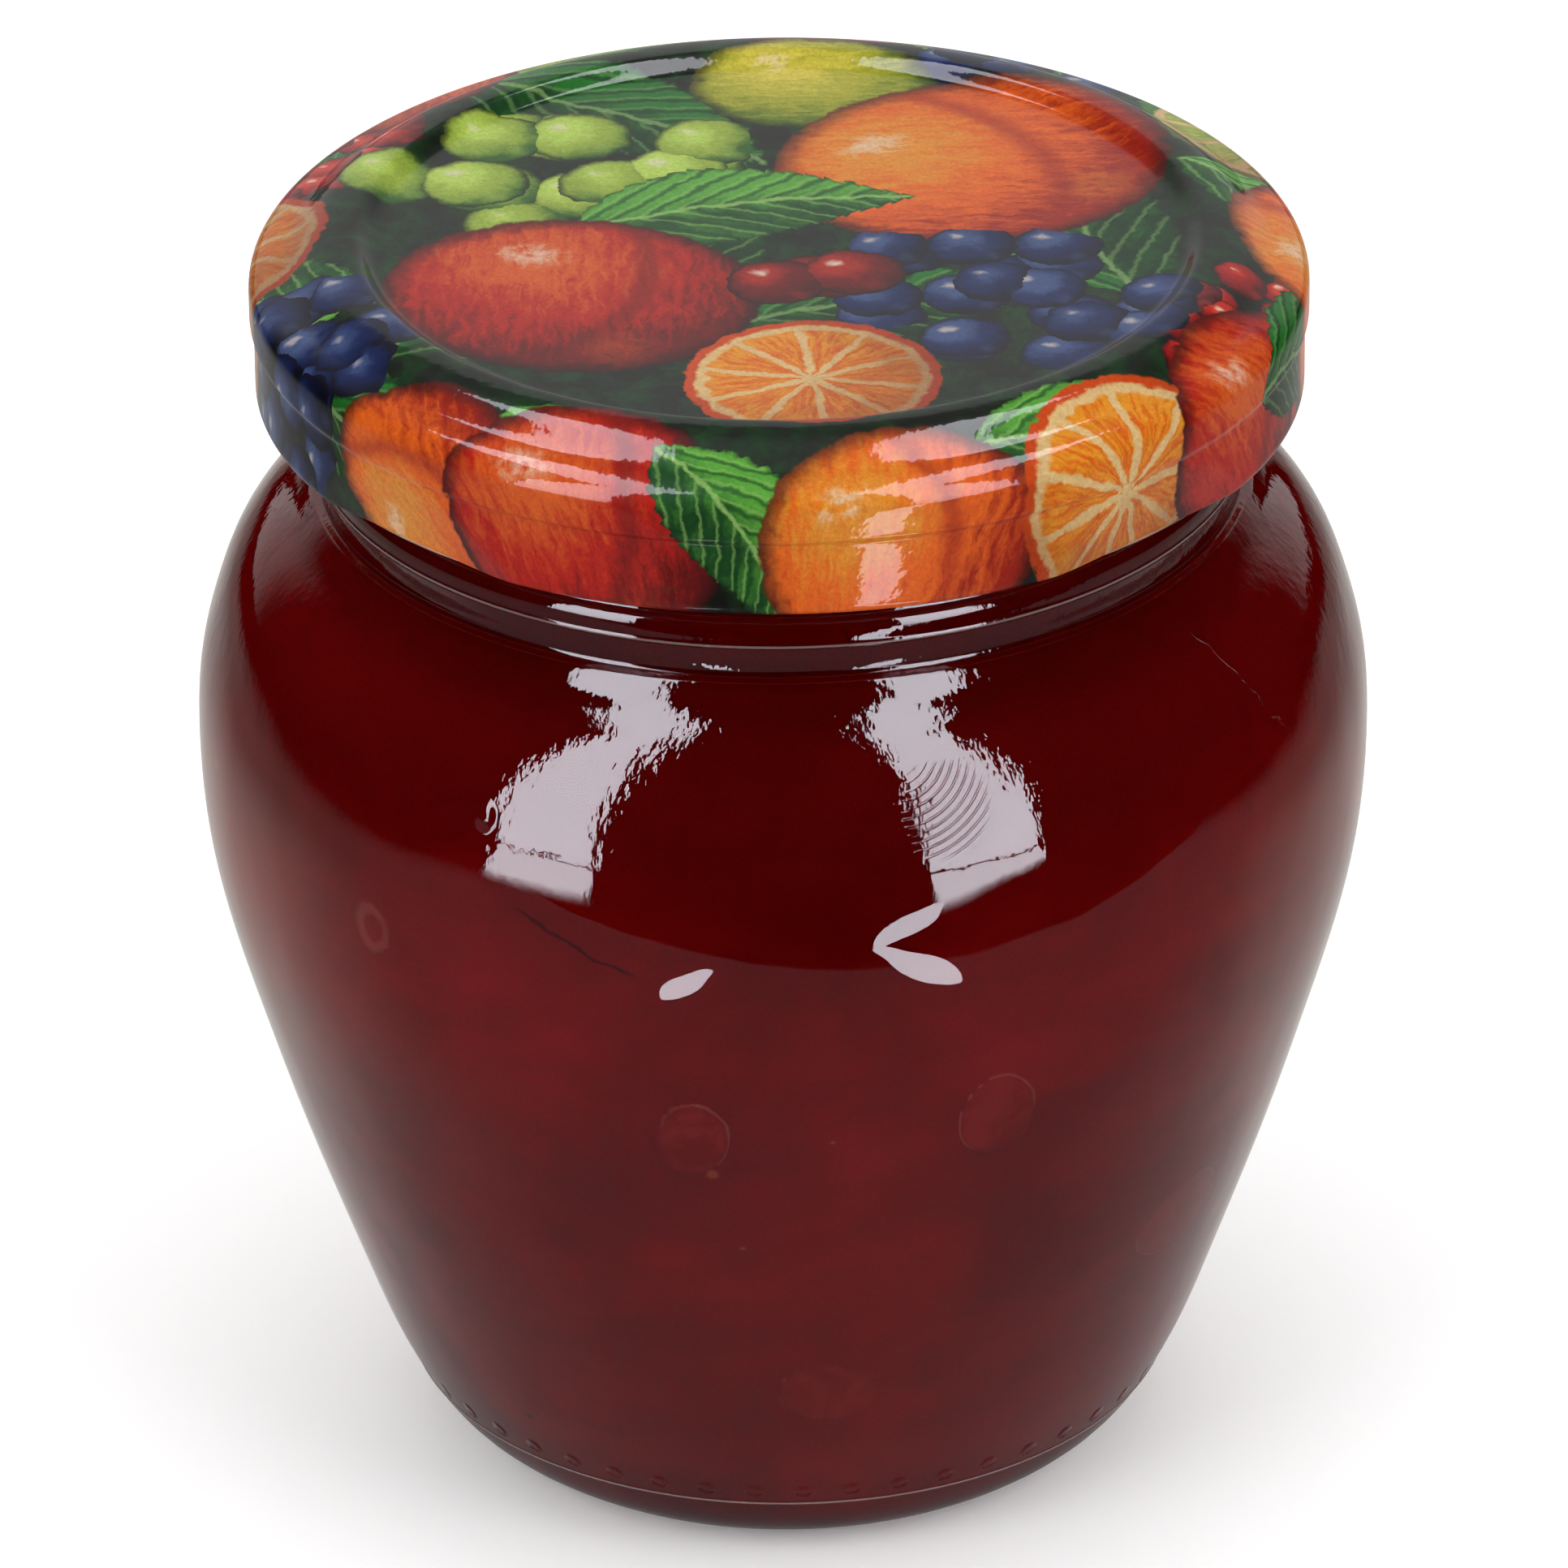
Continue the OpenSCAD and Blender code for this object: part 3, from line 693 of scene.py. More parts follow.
class JAMPOT_OT_fruit(bpy.types.Operator):
    """Build the pieces of soft fruit that lie in the jam against the glass"""

    bl_idname = "jampot.fruit"
    bl_label = "Fruit"

    def execute(self, context):
        s = glass_sizes(context.scene)
        fill = context.scene.jam_pot_fill
        around, down = np.meshgrid(
            np.linspace(0, 2 * np.pi, 40, endpoint=False), np.linspace(0, np.pi, 24))
        points, faces, shares, start = [], [], [], 0
        for k, (azimuth, share, size) in enumerate(FRUIT):
            # A ball whose radius swells and dips: 0.97 plus waves of sin(m a + p) sin(b)^m
            dent = (0.97 + 0.11 * np.sin(2 * around + k) * np.sin(down) ** 2
                    + 0.08 * np.sin(3 * around + 2 * k) * np.sin(down) ** 3
                    + 0.06 * np.cos(2 * down + k))
            radius = size * fill.fruit * 1000 * dent * 0.97
            z0 = s.floor + share * (s.groove_z - s.floor)
            r0 = mapped_inside(s, z0) - 0.7 * size * fill.fruit * 1000
            away = r0 + radius * np.sin(down) * np.cos(around)
            side = radius * np.sin(down) * np.sin(around)
            up = z0 + radius * np.cos(down)
            r, turn = np.hypot(away, side), np.arctan2(side, away) + np.radians(azimuth)
            # Pressed flat where it would pass the glass. Clear grows from 0 at the patch's edge
            limit = mapped_inside(s, up) + fill.wetting * 1000 + 0.04
            over = r - limit
            r = np.minimum(r, limit)
            p = np.stack([r * np.cos(turn), r * np.sin(turn), up], -1)
            clear = smooth_step(over, 0.0, 0.7)
            points.append(np.concatenate([p[0, :1], p[1:-1].reshape(-1, 3), p[-1, :1]]))
            shares.append(np.concatenate([[0], clear[1:-1].ravel(), [0]]))
            # The rows run downward here, so each face goes round the other way
            faces += [[f[0], *f[:0:-1]] for f in closed_faces(*r.shape, start)]
            start += len(points[-1])
        ob = put_mesh("fruit_lumps", np.concatenate(points), faces)
        flag = ob.data.attributes.new("fruit", "FLOAT", "POINT")
        flag.data.foreach_set("value", np.concatenate(shares).astype(np.float32))
        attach(ob, "jar")
        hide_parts("fruit_pieces")
        ob.data.materials.append(jam_material(context.scene, "soft_fruit"))
        return {"FINISHED"}


# Lid

# How far the skirt stands inside the crown, then the hem's inner side, height and bend
SKIRT_IN, HEM_IN, HEM_TALL, HEM_BEND = 0.3, 1.7, 1.4, 0.56
# Height at which a flat runs out. How far a lug is pressed inward, where its side fades in degrees
# from its middle, and the heights over which it swells and fades
FLAT_TALL, LUG_DEEP, LUG_SIDE, LUG_LOW, LUG_TOP = 5.2, 1.38, (4.2, 7), (0.3, 0.62), (1.3, 1.42)
# Width of the square that the lid's flat map shows
BLANK_WIDE = 100


def lid_outlines(scene):
    """The lid's underside from the axis to the hem's inner foot, and its outside from there back up
    to the axis. Also gives the lowest height and the radius of the skirt."""
    lid = scene.jam_pot_lid
    tin, drop = lid.tin * 1000, lid.panel_drop * 1000
    crown_z, low_z = LID_HIGH[2], LID_HIGH[2] - lid.height * 1000
    crown, crest, panel = lid.width * 500, lid.crest * 500, lid.panel * 500
    skirt = crown - SKIRT_IN
    tall = lid.height * 1000
    stations = np.concatenate([
        [[panel, crown_z - drop, 90], [crest, crown_z, 90]],
        CROWN * [crown - crest, -3.6, 1] + [crest, crown_z, 0],
        [[crown, crown_z - 0.49 * tall, 180], [skirt, crown_z - 0.53 * tall, 180]]])
    top = np.concatenate([[[0, crown_z - drop]], smooth_chain(stations)])
    under = np.concatenate([[[0, crown_z - drop - tin]], smooth_chain(moved_right(stations, tin))])
    hem_r, hem_z, low = skirt - HEM_IN + HEM_BEND, low_z + HEM_TALL, low_z + HEM_BEND
    inside = np.concatenate([
        under, [[skirt - tin, hem_z + 0.25], [skirt - tin - 0.2, hem_z]],
        arc([hem_r, hem_z - HEM_BEND], HEM_BEND, 90, 180), arc([hem_r, low], HEM_BEND, 180, 270)])
    outside = np.concatenate([arc([skirt - HEM_BEND, low], HEM_BEND, -90, 0), top[::-1]])
    return inside, outside, low_z, skirt


class JAMPOT_OT_lid(bpy.types.Operator):
    """Build the printed tinplate lid with its panel, crown, skirt, flats, rolled hem and lugs"""

    bl_idname = "jampot.lid"
    bl_label = "Lid"

    def execute(self, context):
        scene = context.scene
        lid = scene.jam_pot_lid
        inside, outside, low_z, skirt = lid_outlines(scene)
        inside, outside = softened(inside, 0.07), softened(outside, 0.12)
        inside[0, 0] = outside[-1, 0] = 0

        def extra(p):
            return 5.0 * (p[:, 1] < low_z + 1.7)

        under = spread_rows(inside, 90, 1.6, extra)
        over = spread_rows(outside, 130, 1.0, lambda p: 1.0 * (p[:, 1] < low_z + 6))
        rows = np.concatenate([under, over])
        columns = lid.columns
        r, z, angle = round_grid(rows, columns)
        # Turn from the nearest lug, which lie at 45 degrees and every quarter turn on
        turn = (angle + np.pi / 2) % (np.pi / 2) - np.pi / 4
        depth = lid.flat_depth * 1000
        reach = skirt - depth + (z - low_z) * depth / FLAT_TALL
        is_under = np.arange(len(rows)) < len(under)
        reach = reach - np.where(is_under, lid.tin * 1000, 0)[:, None]
        on_skirt = (rows[:, 1:] < low_z + 6.5) & (rows[:, :1] > skirt - 1.0)
        pressed = lesser(r, reach / np.cos(turn)[None, :], 0.12)
        r = np.where(on_skirt, np.minimum(r, pressed), r)
        # Lugs: the hem's inner side pressed in by 1.4 mm over 14 degrees, between 0.5 and 1.4 mm up
        up = z - low_z
        tongue = (1 - smooth_step(np.abs(np.degrees(turn)), *LUG_SIDE))[None, :]
        band = smooth_step(up, *LUG_LOW) * (1 - smooth_step(up, *LUG_TOP))
        hem = (rows[:, :1] < skirt - 1.2) & (rows[:, 1:] < low_z + 1.6)
        r = r - hem * tongue * band * LUG_DEEP
        ob = put_mesh("lid_tinplate", *turned(r, z, angle))
        me = ob.data
        # The blank: polar places whose radius is the distance along the top from the lid's middle
        d = arc_length(rows)
        from_middle = np.where(is_under, d, d[-1] - d)[:, None]
        flat = np.stack([from_middle * np.cos(angle), from_middle * np.sin(angle)], -1)
        flat = np.concatenate([[[0, 0]], flat[1:-1].reshape(-1, 2), [[0, 0]]]) / BLANK_WIDE + 0.5
        corner = np.empty(len(me.loops), np.int32)
        me.loops.foreach_get("vertex_index", corner)
        layer = me.uv_layers.new(name="Blank")
        layer.uv.foreach_set("vector", flat[corner].astype(np.float32).ravel())
        me.materials.append(print_material(scene))
        me.materials.append(lacquer_material(scene))
        # Faces of the underside and the hem's inner side are lacquered
        split = 1 + (len(under) - 1) * columns
        first = np.empty(len(me.polygons), np.int32)
        me.polygons.foreach_get("loop_start", first)
        low = np.minimum(corner[first], corner[first + 2])
        me.polygons.foreach_set("material_index", (low < split - columns).astype(np.int32))
        me.update()
        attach(ob, "lid")
        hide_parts("lid")
        return {"FINISHED"}


# Where a motif lies: the place shaded, the motif's centre, its turn and its half sizes
MOTIF_PLACE = "Place Centre Turn Size"


def ball_group():
    """Shading of one painted ball at Place, where its outline has length 1: light, body and shade
    by the distance from the lit side, a dark edge, a soft bright spot, and the ball laid over
    Under."""
    tree, n, i = new_group("painted_ball", "Under Light Body Shade", "Place", "Grain Spot Chosen")
    far = n.vector("LENGTH", i["Place"])
    lit = n.vector("DISTANCE", i["Place"], (-0.3, 0.34, 0))
    tone = lit + (i["Grain"] - 0.5) * 1.3
    colour = n.mix(n.ramp(tone, 0.1, 0.72), i["Light"], i["Body"])
    colour = n.mix(n.ramp(tone, 0.66, 1.28), colour, i["Shade"])
    colour = n.mix(n.ramp(far, 0.82, 1, 0, 0.8), colour, (0.012, 0.008, 0.006))
    # Light thrown back onto the shaded edge
    back = n.ramp(n.vector("DISTANCE", i["Place"], (0.42, -0.54, 0)), 0.32, 0.05) * 0.28
    colour = n.mix(back, colour, i["Light"])
    spot = n.vector("DISTANCE", n.vector("MULTIPLY", i["Place"], (1, 1.35, 1)), (-0.36, 0.58, 0))
    spot = spot + (i["Grain"] - 0.5) * 0.35
    colour = n.mix(n.ramp(spot, 0.24, 0.02) * i["Spot"], colour, (0.92, 0.86, 0.78))
    mask = n.ramp(far, 1, 0.97) * i["Chosen"]
    n.end(n.mix(mask, i["Under"], colour))
    return tree


def fruit_group(ball):
    """A large painted fruit: a ball at Centre with Size, and a cleft x = 0.34 (1 - y^2) down one
    side."""
    tree, n, i = new_group("painted_fruit", "Under Light Body Shade", MOTIF_PLACE, "Grain Cleft")
    local = n.mapping(i["Place"], i["Centre"], i["Turn"], i["Size"])
    x, y, _ = n.parts(local)
    shared = {key: i[key] for key in ("Under", "Light", "Body", "Shade", "Grain")}
    colour = n.group(ball, Place=local, Spot=0.6, Chosen=1.0, **shared)
    bow = abs(x - (1.0 - y * y) * 0.34)
    line = n.ramp(bow, 0.13, 0) * n.ramp(n.vector("LENGTH", local), 0.98, 0.85)
    n.end(n.mix(line * i["Cleft"], colour, i["Shade"]))
    return tree


def cluster_group(ball):
    """A bunch of painted berries: each cell of a random grid whose own centre lies in the ellipse
    at Centre holds one whole ball of the given Berry radius. A second grid, shifted, lies over the
    first."""
    tree, n, i = new_group(
        "painted_bunch", "Under Light Body Shade", MOTIF_PLACE, "Grain Berry Spot")
    colour = i["Under"]
    shared = {key: i[key] for key in ("Light", "Body", "Shade", "Spot")}
    for shift in ((0.0, 0.0, 0.0), (37.3, 21.7, 0.0)):
        cells = n.add("ShaderNodeTexVoronoi", {
            "Vector": n.vector("ADD", i["Place"], shift), "Scale": 0.52 / i["Berry"],
            "Randomness": 0.6}, voronoi_dimensions="2D")
        centre = n.vector("SUBTRACT", Wire(n, cells, "Position"), shift)
        off = n.vector("LENGTH", n.mapping(centre, i["Centre"], i["Turn"], i["Size"]))
        local = n.vector("SUBTRACT", i["Place"], centre)
        luck = n.parts(Wire(n, cells, "Color"))[0]
        colour = n.group(
            ball, Under=colour, Place=n.vector("SCALE", local, scale=1 / i["Berry"]),
            Grain=i["Grain"] * 0.7 + luck * 0.3, Chosen=n.math("LESS_THAN", off, 1), **shared)
    n.end(colour)
    return tree


def leaf_group():
    """A painted leaf along its own x from -1 to 1: half width (1 - x^2)(1 - 0.35 x) with a toothed
    edge, a pale midrib, and side veins that slant toward the tip."""
    tree, n, i = new_group("painted_leaf", "Under Light Dark", MOTIF_PLACE, "Grain")
    local = n.mapping(i["Place"], i["Centre"], i["Turn"], i["Size"])
    x, y, _ = n.parts(local)
    squared = x * x
    y = y + (squared - 0.4) * 0.35
    wide = (1.0 - squared) * (1.0 - x * 0.35)
    side = abs(y)
    step = x * 9.0 - side * 1.5
    tooth = n.math("FRACT", step) * 0.07
    gap = wide - tooth - side
    inside = n.ramp(gap, 0, 0.03) * n.math("LESS_THAN", squared, 1)
    tone = n.ramp(y, -0.35, 0.45) * 0.45 + (i["Grain"] - 0.12) * 0.9
    colour = n.mix(n.ramp(tone, 0.2, 0.85), i["Dark"], i["Light"])
    slant = n.math("FRACT", x * 4.5 - side * 3.2)
    vein = n.ramp(abs(slant - 0.5), 0.16, 0.02, 0, 0.45)
    shade = n.ramp(abs(slant - 0.8), 0.24, 0.03, 0, 0.7)
    colour = n.mix(shade, colour, i["Dark"])
    pale = n.mix(0.35, i["Light"], (0.75, 0.85, 0.5))
    colour = n.mix(vein, colour, pale)
    colour = n.mix(n.ramp(side, 0.06, 0.015, 0, 0.85), colour, pale)
    colour = n.mix(n.ramp(gap, 0.1, 0, 0, 0.7), colour, (0.006, 0.02, 0.006))
    n.end(n.mix(inside, i["Under"], colour))
    return tree


def slice_group():
    """A painted slice of citrus: rind, pith and ten segments with fine spokes, by radius and
    angle."""
    tree, n, i = new_group("painted_slice", "Under Light Body Rind", MOTIF_PLACE, "Grain")
    local = n.mapping(i["Place"], i["Centre"], i["Turn"], i["Size"])
    x, y, _ = n.parts(local)
    far = n.vector("LENGTH", local)
    angle = n.math("ARCTAN2", y, x) * (10 / (2 * math.pi))
    middle = abs(n.math("FRACT", angle + 50) - 0.5)
    from_wall = (0.5 - middle) * far
    polar = n.wire("ShaderNodeCombineXYZ", {0: angle * 6, 1: far * 3})
    spokes = n.noise(polar, 1.6, 2)
    flesh = n.mix(n.ramp(spokes + far * 0.2, 0.42, 0.78), i["Body"], i["Light"])
    pith = (0.84, 0.66, 0.36)
    colour = n.mix(n.ramp(from_wall, 0.035, 0.075), pith, flesh)
    colour = n.mix(n.ramp(far, 0.8, 0.84), colour, pith)
    colour = n.mix(n.ramp(far, 0.88, 0.92), colour, i["Rind"])
    colour = n.mix(n.ramp(far, 0.14, 0.08), colour, pith)
    # The painter's light from the upper left, and uneven paint
    tone = n.vector("DISTANCE", local, (-0.4, 0.5, 0)) + i["Grain"]
    colour = n.mix(n.ramp(tone, 0.9, 2.1, 0, 0.55), colour, (0.25, 0.04, 0.01))
    n.end(n.mix(n.ramp(far, 1, 0.97), i["Under"], colour))
    return tree


def print_material(scene):
    """A generic all-over print of fruit and leaves on a dark ground under clear varnish. It follows
    the lid's flat blank, so it stretches over the crown and skirt as a drawn print does."""
    lid = scene.jam_pot_lid
    mat, n = new_material("printed_tinplate")
    blank = n.wire("ShaderNodeUVMap", uv_map="Blank")
    place = n.vector("SCALE", n.vector("SUBTRACT", blank, (0.5, 0.5, 0)), scale=BLANK_WIDE)
    # The brush: edges waver by a fifth of a millimetre
    shake = n.vector("SUBTRACT", n.noise(place, 0.55, 3, 0.6, 0, True), (0.5, 0.5, 0.5))
    place = n.vector("ADD", place, n.vector("SCALE", shake, scale=1.2))
    # Brush strokes along and across, and blots, that every motif shares
    grains = {
        "along": n.noise(n.vector("MULTIPLY", place, (1.5, 0.32, 1)), 1, 4, 0.62, 0.5),
        "across": n.noise(n.vector("MULTIPLY", place, (0.32, 1.5, 1)), 1, 4, 0.62, 0.5),
        "blots": n.noise(place, 0.33, 4, 0.68, 0.4),
    }
    colour = n.mix(n.ramp(grains["blots"], 0.4, 0.7), lid.ground, (0.018, 0.075, 0.022))
    ball = ball_group()
    groups = {
        "fruit": fruit_group(ball), "bunch": cluster_group(ball), "leaf": leaf_group(),
        "slice": slice_group()}
    tones = {
        "apricot": dict(Light=(0.86, 0.42, 0.06), Body=lid.orange, Shade=(0.42, 0.035, 0.01)),
        "plum": dict(Light=(0.78, 0.2, 0.035), Body=lid.red, Shade=(0.2, 0.008, 0.006)),
        "lime": dict(Light=(0.6, 0.82, 0.22), Body=lid.pale, Shade=(0.06, 0.18, 0.03)),
        "yellow": dict(Light=(0.8, 0.74, 0.16), Body=(0.5, 0.54, 0.07), Shade=(0.16, 0.26, 0.03)),
        "blue": dict(Light=(0.11, 0.17, 0.36), Body=lid.blue, Shade=(0.004, 0.006, 0.025)),
        "currant": dict(
            Light=(0.75, 0.09, 0.04), Body=(0.42, 0.012, 0.012), Shade=(0.12, 0.003, 0.004)),
        "cherry": dict(
            Light=(0.5, 0.045, 0.025), Body=(0.21, 0.008, 0.01), Shade=(0.1, 0.004, 0.008)),
        "leaf": dict(Light=lid.green, Dark=(0.006, 0.05, 0.012)),
        "young": dict(Light=(0.18, 0.52, 0.1), Dark=(0.012, 0.1, 0.025)),
        "orange": dict(Light=(0.9, 0.46, 0.05), Body=(0.8, 0.22, 0.015), Rind=(0.7, 0.13, 0.01)),
        "citron": dict(Light=(0.58, 0.68, 0.16), Body=(0.3, 0.46, 0.06), Rind=(0.07, 0.26, 0.03)),
    }

    def lay(kind, tone, distance, azimuth, size, turn=0.0, grain="blots", **more):
        """Lays one motif over the colour, its centre at a distance along the blank and an azimuth.
        Its place takes a billionth of the colour under it, so that the renderer, which has little
        room for values, works the motifs out one after the other."""
        nonlocal colour
        a = math.radians(azimuth)
        colour = n.group(
            groups[kind], Under=colour, Grain=grains[grain], Turn=(0, 0, math.radians(turn)),
            Place=n.vector("MULTIPLY_ADD", colour, (1e-9, 1e-9, 1e-9), place), Size=(*size, 1),
            Centre=(distance * math.cos(a), distance * math.sin(a), 0), **tones[tone], **more)

    # Leaves that show between the large fruit
    for azimuth in range(0, 360, 30):
        lay("leaf", "leaf" if azimuth % 60 else "young", 37 + 3 * (azimuth % 60) / 30, azimuth + 8,
            (10.5, 5.0), azimuth + (70 if azimuth % 90 else -40))
    for distance, azimuth, turn in (
            (12, -60, 15), (22, 10, 100), (20, -150, 35), (23, 120, -30), (6, 170, 80)):
        lay("leaf", "leaf", distance, azimuth, (14.0, 6.5), turn)
    # Round the skirt and the crown
    lay("bunch", "currant", 38, -22, (10, 8), 20, Berry=2.2, Spot=0.8)
    lay("bunch", "blue", 38, 62, (11, 9), 0, Berry=2.8, Spot=0.5)
    lay("bunch", "currant", 38, 155, (11, 8), 70, Berry=2.3, Spot=0.8)
    lay("fruit", "apricot", 42, -132, (10, 9.5), 40, "along", Cleft=0.5)
    lay("fruit", "plum", 41, -112, (12, 11), -20, "along", Cleft=0.55)
    lay("leaf", "young", 40, -95, (9.5, 4.6), -62)
    lay("fruit", "apricot", 42, -77, (11.5, 10.5), 15, "along", Cleft=0.6)
    lay("slice", "orange", 41.5, -50, (10, 10), 10)
    lay("fruit", "plum", 42, -28, (10.5, 10), 40, "across", Cleft=0.4)
    lay("leaf", "leaf", 41, -13, (9.5, 4.6), 60)
    lay("fruit", "apricot", 42, 4, (11.5, 10.5), 75, "across", Cleft=0.5)
    lay("slice", "citron", 41, 30, (9.5, 9.5), 0)
    lay("fruit", "plum", 41, 84, (12, 11), 10, "along", Cleft=0.5)
    lay("fruit", "lime", 40, 110, (12, 9), 30, "across", Cleft=0)
    lay("fruit", "apricot", 42, 134, (11, 10), -40, "along", Cleft=0.5)
    lay("slice", "orange", 41, 176, (9.5, 9.5), 5)
    lay("bunch", "blue", 39, -158, (11.5, 9), 20, Berry=2.9, Spot=0.5)
    # The panel
    lay("fruit", "yellow", 25, 84, (9, 7), -10, "across", Cleft=0)
    lay("bunch", "lime", 21, 140, (14, 9.5), 40, Berry=3.9, Spot=0.55)
    lay("fruit", "apricot", 18.5, 42, (14.5, 13), 25, "across", Cleft=0.6)
    lay("bunch", "blue", 18, -28, (13, 8.5), -25, Berry=3.2, Spot=0.55)
    lay("leaf", "young", 6, 118, (13, 6), 12)
    lay("fruit", "plum", 16.5, -150, (13.5, 12), -20, "along", Cleft=0.5)
    lay("bunch", "cherry", 7, -62, (6.5, 4.5), 10, Berry=3.6, Spot=0.8)
    lay("slice", "orange", 21.5, -84, (9, 9), 25)
    # Paint and print grain
    grain = n.noise(place, 3.2, 4, 0.7)
    colour = n.mix(1, colour, n.mix(grain, (0.42, 0.4, 0.38), (0.98, 0.9, 0.84)), "MULTIPLY")
    colour = n.wire("ShaderNodeGamma", {"Color": colour, "Gamma": 1.3})
    peel = n.bump(0.12, 0.0002, n.noise(n.place(), 900, 2))
    n.end(n.add("ShaderNodeBsdfPrincipled", {
        "Base Color": colour, "Roughness": 0.45, "Specular IOR Level": 0.1, "Coat Weight": 0.45,
        "Coat Roughness": 0.04, "Coat IOR": 1.5, "Coat Normal": peel}))
    return mat


def lacquer_material(scene):
    """Tinplate under a clear lacquer: brushed metal grain and a slightly uneven gloss."""
    mat, n = new_material("lacquered_tin")
    place = n.place()
    rolled = n.noise(n.mapping(place, size=(0.03, 0.0006, 0.01)), 1, 4, 0.7)
    colour = n.mix(rolled, scene.jam_pot_lid.lacquer, (0.8, 0.77, 0.68))
    rough = n.ramp(rolled, 0.2, 0.8, 0.26, 0.38)
    n.end(n.add("ShaderNodeBsdfPrincipled", {
        "Base Color": colour, "Metallic": 0.9, "Roughness": rough, "Coat Weight": 0.5,
        "Coat Roughness": 0.12}))
    return mat


class JAMPOT_OT_seal(bpy.types.Operator):
    """Give the ring of sealing compound its finish"""

    bl_idname = "jampot.seal"
    bl_label = "Sealing ring"

    def execute(self, context):
        mat, n = new_material("sealing_compound")
        place = n.place()
        mottle = n.noise(place, 240, 3, 0.6)
        colour = n.mix(mottle, (0.66, 0.63, 0.56), (0.8, 0.78, 0.71))
        n.end(n.add("ShaderNodeBsdfPrincipled", {
            "Base Color": colour, "Roughness": n.ramp(mottle, 0.2, 0.8, 0.38, 0.55),
            "Normal": n.bump(0.35, 0.0001, n.noise(place, 1500, 2))}))
        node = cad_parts["sealing_ring"]
        node.data.materials.clear()
        node.data.materials.append(mat)
        return {"FINISHED"}


# Stage

# The two lamps that shiny surfaces see. With u = |x| / (1 + z) and v = -y / (1 + z) of a direction,
# each lies between max(a, b v) and max(c, d v) on its side. Side, a, b, c, d, and the distance on
# the table in metres beyond which its foot is seen
LAMPS = ((-1, 0.108, 0.70, 0.235, 1.455, 0.50), (1, 0.092, 0.515, 0.205, 1.18, 0.46))
# Their colour, and the strength of the lamps, and of their feet and the small bright things
LAMP_TINT, LAMP_GLOW, FOOT_GLOW = (0.93, 0.91, 1.0), 12.5, 11.5
# Strength of what else shiny surfaces see: wall, dark, table, and how much more behind the pot
WALL_GLOW, DARK_GLOW, TABLE_GLOW, NEAR_GLOW = 0.72, 0.004, 0.245, 0.42
# Strength of the light from all round, and what the camera sees more of the table
SOFT_GLOW, CAMERA_MORE = 0.74, 0.14


def beside(n, x, low, high, soft):
    """1 where x lies between the wires low and high, with soft ends."""
    return n.ramp(x - low, -soft, soft) * n.ramp(high - x, -soft, soft)


def glossy_view(n, direction):
    """What a shiny surface sees above the table: a pale wall behind, dark sides, front and ceiling,
    and two tall lamps at the front that go on overhead as strips. Direction is where the reflected
    ray goes. Gives the strength of the wall and of the lamps."""
    x, y, z = n.parts(n.vector("NORMALIZE", direction))
    # The wall stands across +Y. It pales toward its sides, and its top is at z = 0.70 y
    ahead = n.math("MAXIMUM", y, 0.001)
    wall = n.ramp(abs(x) / ahead, 1.25, 0.45) * n.ramp(z / ahead, 0.76, 0.64)
    reach = n.math("MAXIMUM", z, 0) + 1
    v = -(y / reach)
    lamps = 0.0
    for side, a, b, c, d, _ in LAMPS:
        u = x * side / reach
        inner = n.math("MAXIMUM", v * b, a)
        outer = n.math("MAXIMUM", v * d, c)
        strip = beside(n, u, inner, outer, 0.006) * n.ramp(v, -0.27, -0.24)
        lamps = lamps + strip * n.ramp(z, -0.01, 0)
    return wall * WALL_GLOW + DARK_GLOW, lamps * LAMP_GLOW


def glossy_table(n, place):
    """What a shiny surface sees of the table: it ends in front along y = 0.33 x - 0.157, is
    lightest behind the pot and pales away to the sides. The feet of the two lamps stand beyond its
    edge. Gives the strength of both."""
    x, y, _ = n.parts(place)
    side = abs(x)
    front = n.ramp(y - x * 0.33, -0.16, -0.154)
    near = n.ramp(y, -0.045, 0.035) * n.ramp(side, 0.2, 0.065)
    table = (TABLE_GLOW + near * NEAR_GLOW) * front * n.ramp(side, 0.37, 0.215)
    away, far = -y, n.from_axis(place)
    # Darker next to the jar, where the jar itself shades it
    table = table * n.ramp(far, 0.022, 0.034, 0.45, 1)
    feet = 0.0
    for side, _, b, _, d, foot in LAMPS:
        across = x * side
        # The right foot comes nearer on its inner side
        nearer = (across - away * b) * (1.6 if side > 0 else 0.25)
        strip = beside(n, across, away * b, away * d, 0.008)
        feet = feet + strip * n.ramp(far - nearer, foot * 0.6, foot * 1)
    return table, feet * FOOT_GLOW


# Small bright things that stand in front and show in the glass: middle, half length along its
# direction, half width across it (mm), and the direction's turn about the vertical in degrees
CARDS = (
    ((-25.6, -96, 22), 10, 3.6, 16), ((36.5, -104, 22), 21, 6.0, -14), ((79, -186, 22), 80, 11, 37))

# Area lamps: place and size in metres, power in watts. The rim lamps act through the glass alone,
# and deepen the red of the jam's edges
AREA_LAMPS = {
    "lamp_left": ((-0.75, -0.85, 0.95), 0.7, 4.8), "lamp_right": ((0.8, -0.7, 0.9), 0.7, 4.8),
    "lamp_above": ((0.0, 0.1, 1.5), 1.2, 6.0), "rim_left": ((-0.68, 0.70, 0.85), 0.8, 34.0),
    "rim_right": ((0.68, 0.70, 0.85), 0.8, 34.0)}
PICTURE_POINTS, SENSOR = 1932, 36


def facing(place, target):
    """Turn of a lamp or camera at place that looks at target."""
    return (Vector(target) - Vector(place)).to_track_quat("-Z", "Y")


